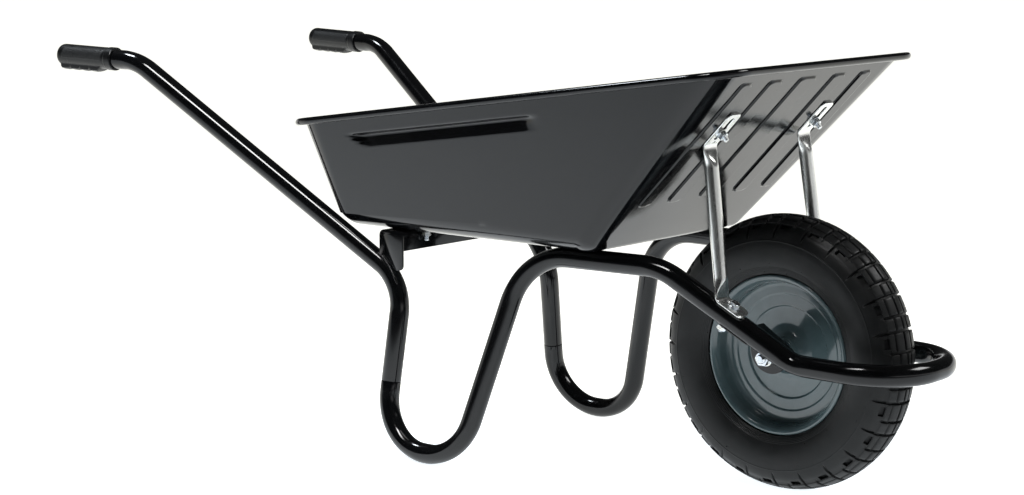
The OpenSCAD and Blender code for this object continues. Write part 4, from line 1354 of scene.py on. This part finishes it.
def valve_placed(points):
    """Puts points drawn along the valve's own axis into the wheel."""
    turn, tilt = math.radians(VALVE_TURN), math.radians(VALVE_LEAN - 90)
    axis = vec(math.sin(tilt), 0, math.cos(tilt))
    c, s = math.cos(turn), math.sin(turn)
    local = placed(points, VALVE_FROM, axis, vec(math.cos(tilt), 0, -math.sin(tilt)))
    x, y, z = np.moveaxis(local, -1, 0)
    return on_axle(coords(x * c - y * s, x * s + y * c, z))


def valve():
    stem = [(3.2, -4), (VALVE_R, -3.2), (VALVE_R, 8), (VALVE_R - 0.5, 9.5), (VALVE_R - 0.5, 22), (VALVE_R, 23.5)]
    stem += [(VALVE_R, 25.6), (3.5, 26.1), (2.6, 26.1), (2.6, 33.6), (2.2, 34)]
    shells = Shells().loft(valve_placed(circles(stem, 48)))
    make_piece("valve_stem_moulding", shells, "tube_rubber", "valve_stem", body="wheel")

    def knurl(angles, z):
        return -0.22 * (0.5 + 0.5 * np.cos(angles * 20)) * (28 < z < 34.5)

    outline = [(2.65, 27), (3.9, 27), (4.2, 27.3), (4.2, 28.3), (4.2, 34.2), (4.2, 34.9), (3.7, 35.8), (3.0, 36.0)]
    dished = [(0.3, 36), (0.3, 34.2), (2.3, 34.2), (2.65, 33.8)]
    rings = list(circles(outline, 120, knurl)) + list(circles(dished, 120))
    cap = Shells().loft(valve_placed(np.array(rings)), closed=True)
    make_piece("valve_cap_knurled", cap, "tube_rubber", "valve_cap", body="wheel")


def inner_tube():
    """The air tube, a ring that fills the tyre and is never seen."""
    half = [(107.4, 0), (107.4, 15), (114.4, 18.8), (121, 25.6), (130.5, 32.6), (142, 37.8), (155, 38.8), (165, 35.8)]
    half += [(173.5, 30.1), (180.3, 21.3), (184.1, 11.5), (186.1, 0)]
    outline = half + [(r, -y) for r, y in half[-2:0:-1]]
    middle = vec(150, 0)
    inner = [middle + (vec(*p) - middle) * 0.95 for p in outline]
    shells = Shells()
    for line in (outline, inner):
        shells.loft(on_axle(circles(line, 120)), closed=True)
    make_piece("inner_tube_ring", shells, "tube_rubber", "inner_tube", body="wheel")


for build in (
    frame_tubes, rear_crossmember, axle_brackets, weld_pieces, tray_piece, struts, fastener_pieces, grips,
    tyre, rim, shields, bearing_rings, balls, axle, valve, inner_tube,
):
    build()


# ---- floor, light and camera ----
FLOOR_REACH = (0.6, 1.2, 2.4, 5.0, 10.0, 20.0, 40.0)
FLOOR_SIDES = 64
FLOOR_LEVEL = -0.0005
# The way that leads from the camera's side of the object to its far side, and how far along it the glow runs
GLOW_WAY = (-0.61, 0.79, 0)
GLOW_FROM = -2.8
GLOW_TO = 1.2
GLOW_STRENGTH = 1.06
GLOW_STOPS = (
    (0.1, (0, 0, 0)), (0.31, (0.09, 0.095, 0.1)), (0.47, (0.90, 0.96, 1.0)), (0.7, (0.90, 0.96, 1.0)),
    (0.78, (1.0, 1.0, 0.94)),
)


def stage_floor():
    """A wide pale floor, finer near the object. It glows under and behind it, and is dark before it."""
    n = FLOOR_SIDES
    turn = np.arange(n) * TAU / n
    points = [(0.0, 0.0, FLOOR_LEVEL)]
    for r in FLOOR_REACH:
        points += polar(r, turn, FLOOR_LEVEL).tolist()
    faces = [(0, 1 + k, 1 + (k + 1) % n) for k in range(n)]
    for a in range(1, 1 + n * (len(FLOOR_REACH) - 1), n):
        faces += [(a + k, a + n + k, a + n + (k + 1) % n, a + (k + 1) % n) for k in range(n)]
    mesh = bpy.data.meshes.new("studio_floor")
    mesh.from_pydata(points, [], faces)
    finish = Finish("studio_floor", (0.7, 0.85), 3, Emission_Strength=GLOW_STRENGTH)
    away = finish.node("ShaderNodeVectorMath", Vector=finish.coords)
    away.operation = "DOT_PRODUCT"
    away.inputs[1].default_value = GLOW_WAY
    along = finish.remap(away.outputs["Value"], 0.0, 1.0, GLOW_FROM, GLOW_TO)
    finish.tree.links.new(finish.ramp(along, *GLOW_STOPS), finish.shader.inputs["Emission Color"])
    finish.colour(finish.noise(5, 3), (0.3, (0.80, 0.80, 0.80)), (0.7, (0.82, 0.82, 0.82)))
    finish.bump(finish.noise(40, 2), 0.2, 0.1)
    mesh.materials.append(finish.material)
    floor = bpy.data.objects.new("studio_floor", mesh)
    bpy.context.scene.collection.objects.link(floor)


# Name, place, aim, width, height, watts, spread in degrees and colour
LIGHTS = (
    ("key_left", (-1.6, -0.5, 2.7), (-0.5, -0.2, 0), 0.5, 0.5, 13, 110, (0.88, 0.94, 1)),
    ("strip_front", (0.1, -1.5, 2.6), (-0.35, -0.2, 0.4), 1.3, 0.5, 6, 50, (1, 1, 1)),
    ("right_back", (2.4, 1.5, 2.6), (0.8, 0.2, 0), 1.4, 0.8, 12, 100, (1, 1, 1)),
)
# For a direction's height and its way to the left: where the sweep starts and ends, and how bright it is there
SWEEP = (((0, 0, 1), (0.09, 0.17, 1, 0.04)), ((0, 1, 0), (-0.62, -0.42, 0.05, 1)))
CAMERA_AT = (2.3506, -2.9227, 0.8566)
CAMERA_AIM = (0.1092, 0, 0.311)
CAMERA_ROLL = 0.26
CAMERA_LENS = 87.47
CAMERA_SHIFT = (-0.0724, 0.0006)


def area_light(name, place, aim, width, height, power, spread, colour):
    light = bpy.data.lights.new(name, "AREA")
    light.color = colour
    light.shape, light.size, light.size_y = "RECTANGLE", width, height
    light.energy, light.spread = power, math.radians(spread)
    made = bpy.data.objects.new(name, light)
    made.location = place
    made.rotation_euler = (Vector(aim) - Vector(place)).to_track_quat("-Z", "Y").to_euler()
    bpy.context.scene.collection.objects.link(made)


def studio_world():
    """A dark room with a pale sweep that stands up low down behind the object and at both its sides."""
    world = bpy.data.worlds.new("studio")
    world.use_nodes = True
    nodes, links = world.node_tree.nodes, world.node_tree.links
    texture = nodes.new("ShaderNodeTexCoord")
    bands = []
    for axis, ends in SWEEP:
        dot = nodes.new("ShaderNodeVectorMath")
        dot.operation = "DOT_PRODUCT"
        dot.inputs[1].default_value = axis
        links.new(texture.outputs["Generated"], dot.inputs[0])
        band = nodes.new("ShaderNodeMapRange")
        for socket, value in zip(("From Min", "From Max", "To Min", "To Max"), ends):
            band.inputs[socket].default_value = value
        links.new(dot.outputs["Value"], band.inputs["Value"])
        bands.append(band.outputs["Result"])
    both = nodes.new("ShaderNodeMath")
    both.operation = "MULTIPLY"
    for socket, band in zip(both.inputs, bands):
        links.new(band, socket)
    links.new(both.outputs[0], nodes["Background"].inputs["Strength"])
    nodes["Background"].inputs["Color"].default_value = (1, 1, 1, 1)
    bpy.context.scene.world = world


def camera():
    data = bpy.data.cameras.new("camera")
    data.lens, data.sensor_width = CAMERA_LENS, 36
    data.shift_x, data.shift_y = CAMERA_SHIFT
    made = bpy.data.objects.new("camera", data)
    made.location = CAMERA_AT
    made.rotation_euler = (Vector(CAMERA_AIM) - Vector(CAMERA_AT)).to_track_quat("-Z", "Y").to_euler()
    made.rotation_euler.rotate_axis("Z", math.radians(CAMERA_ROLL))
    bpy.context.scene.collection.objects.link(made)
    bpy.context.scene.camera = made


stage_floor()
studio_world()
for light in LIGHTS:
    area_light(*light)
camera()

scene = bpy.context.scene
scene.view_settings.view_transform = "Standard"
scene.view_settings.look = "None"
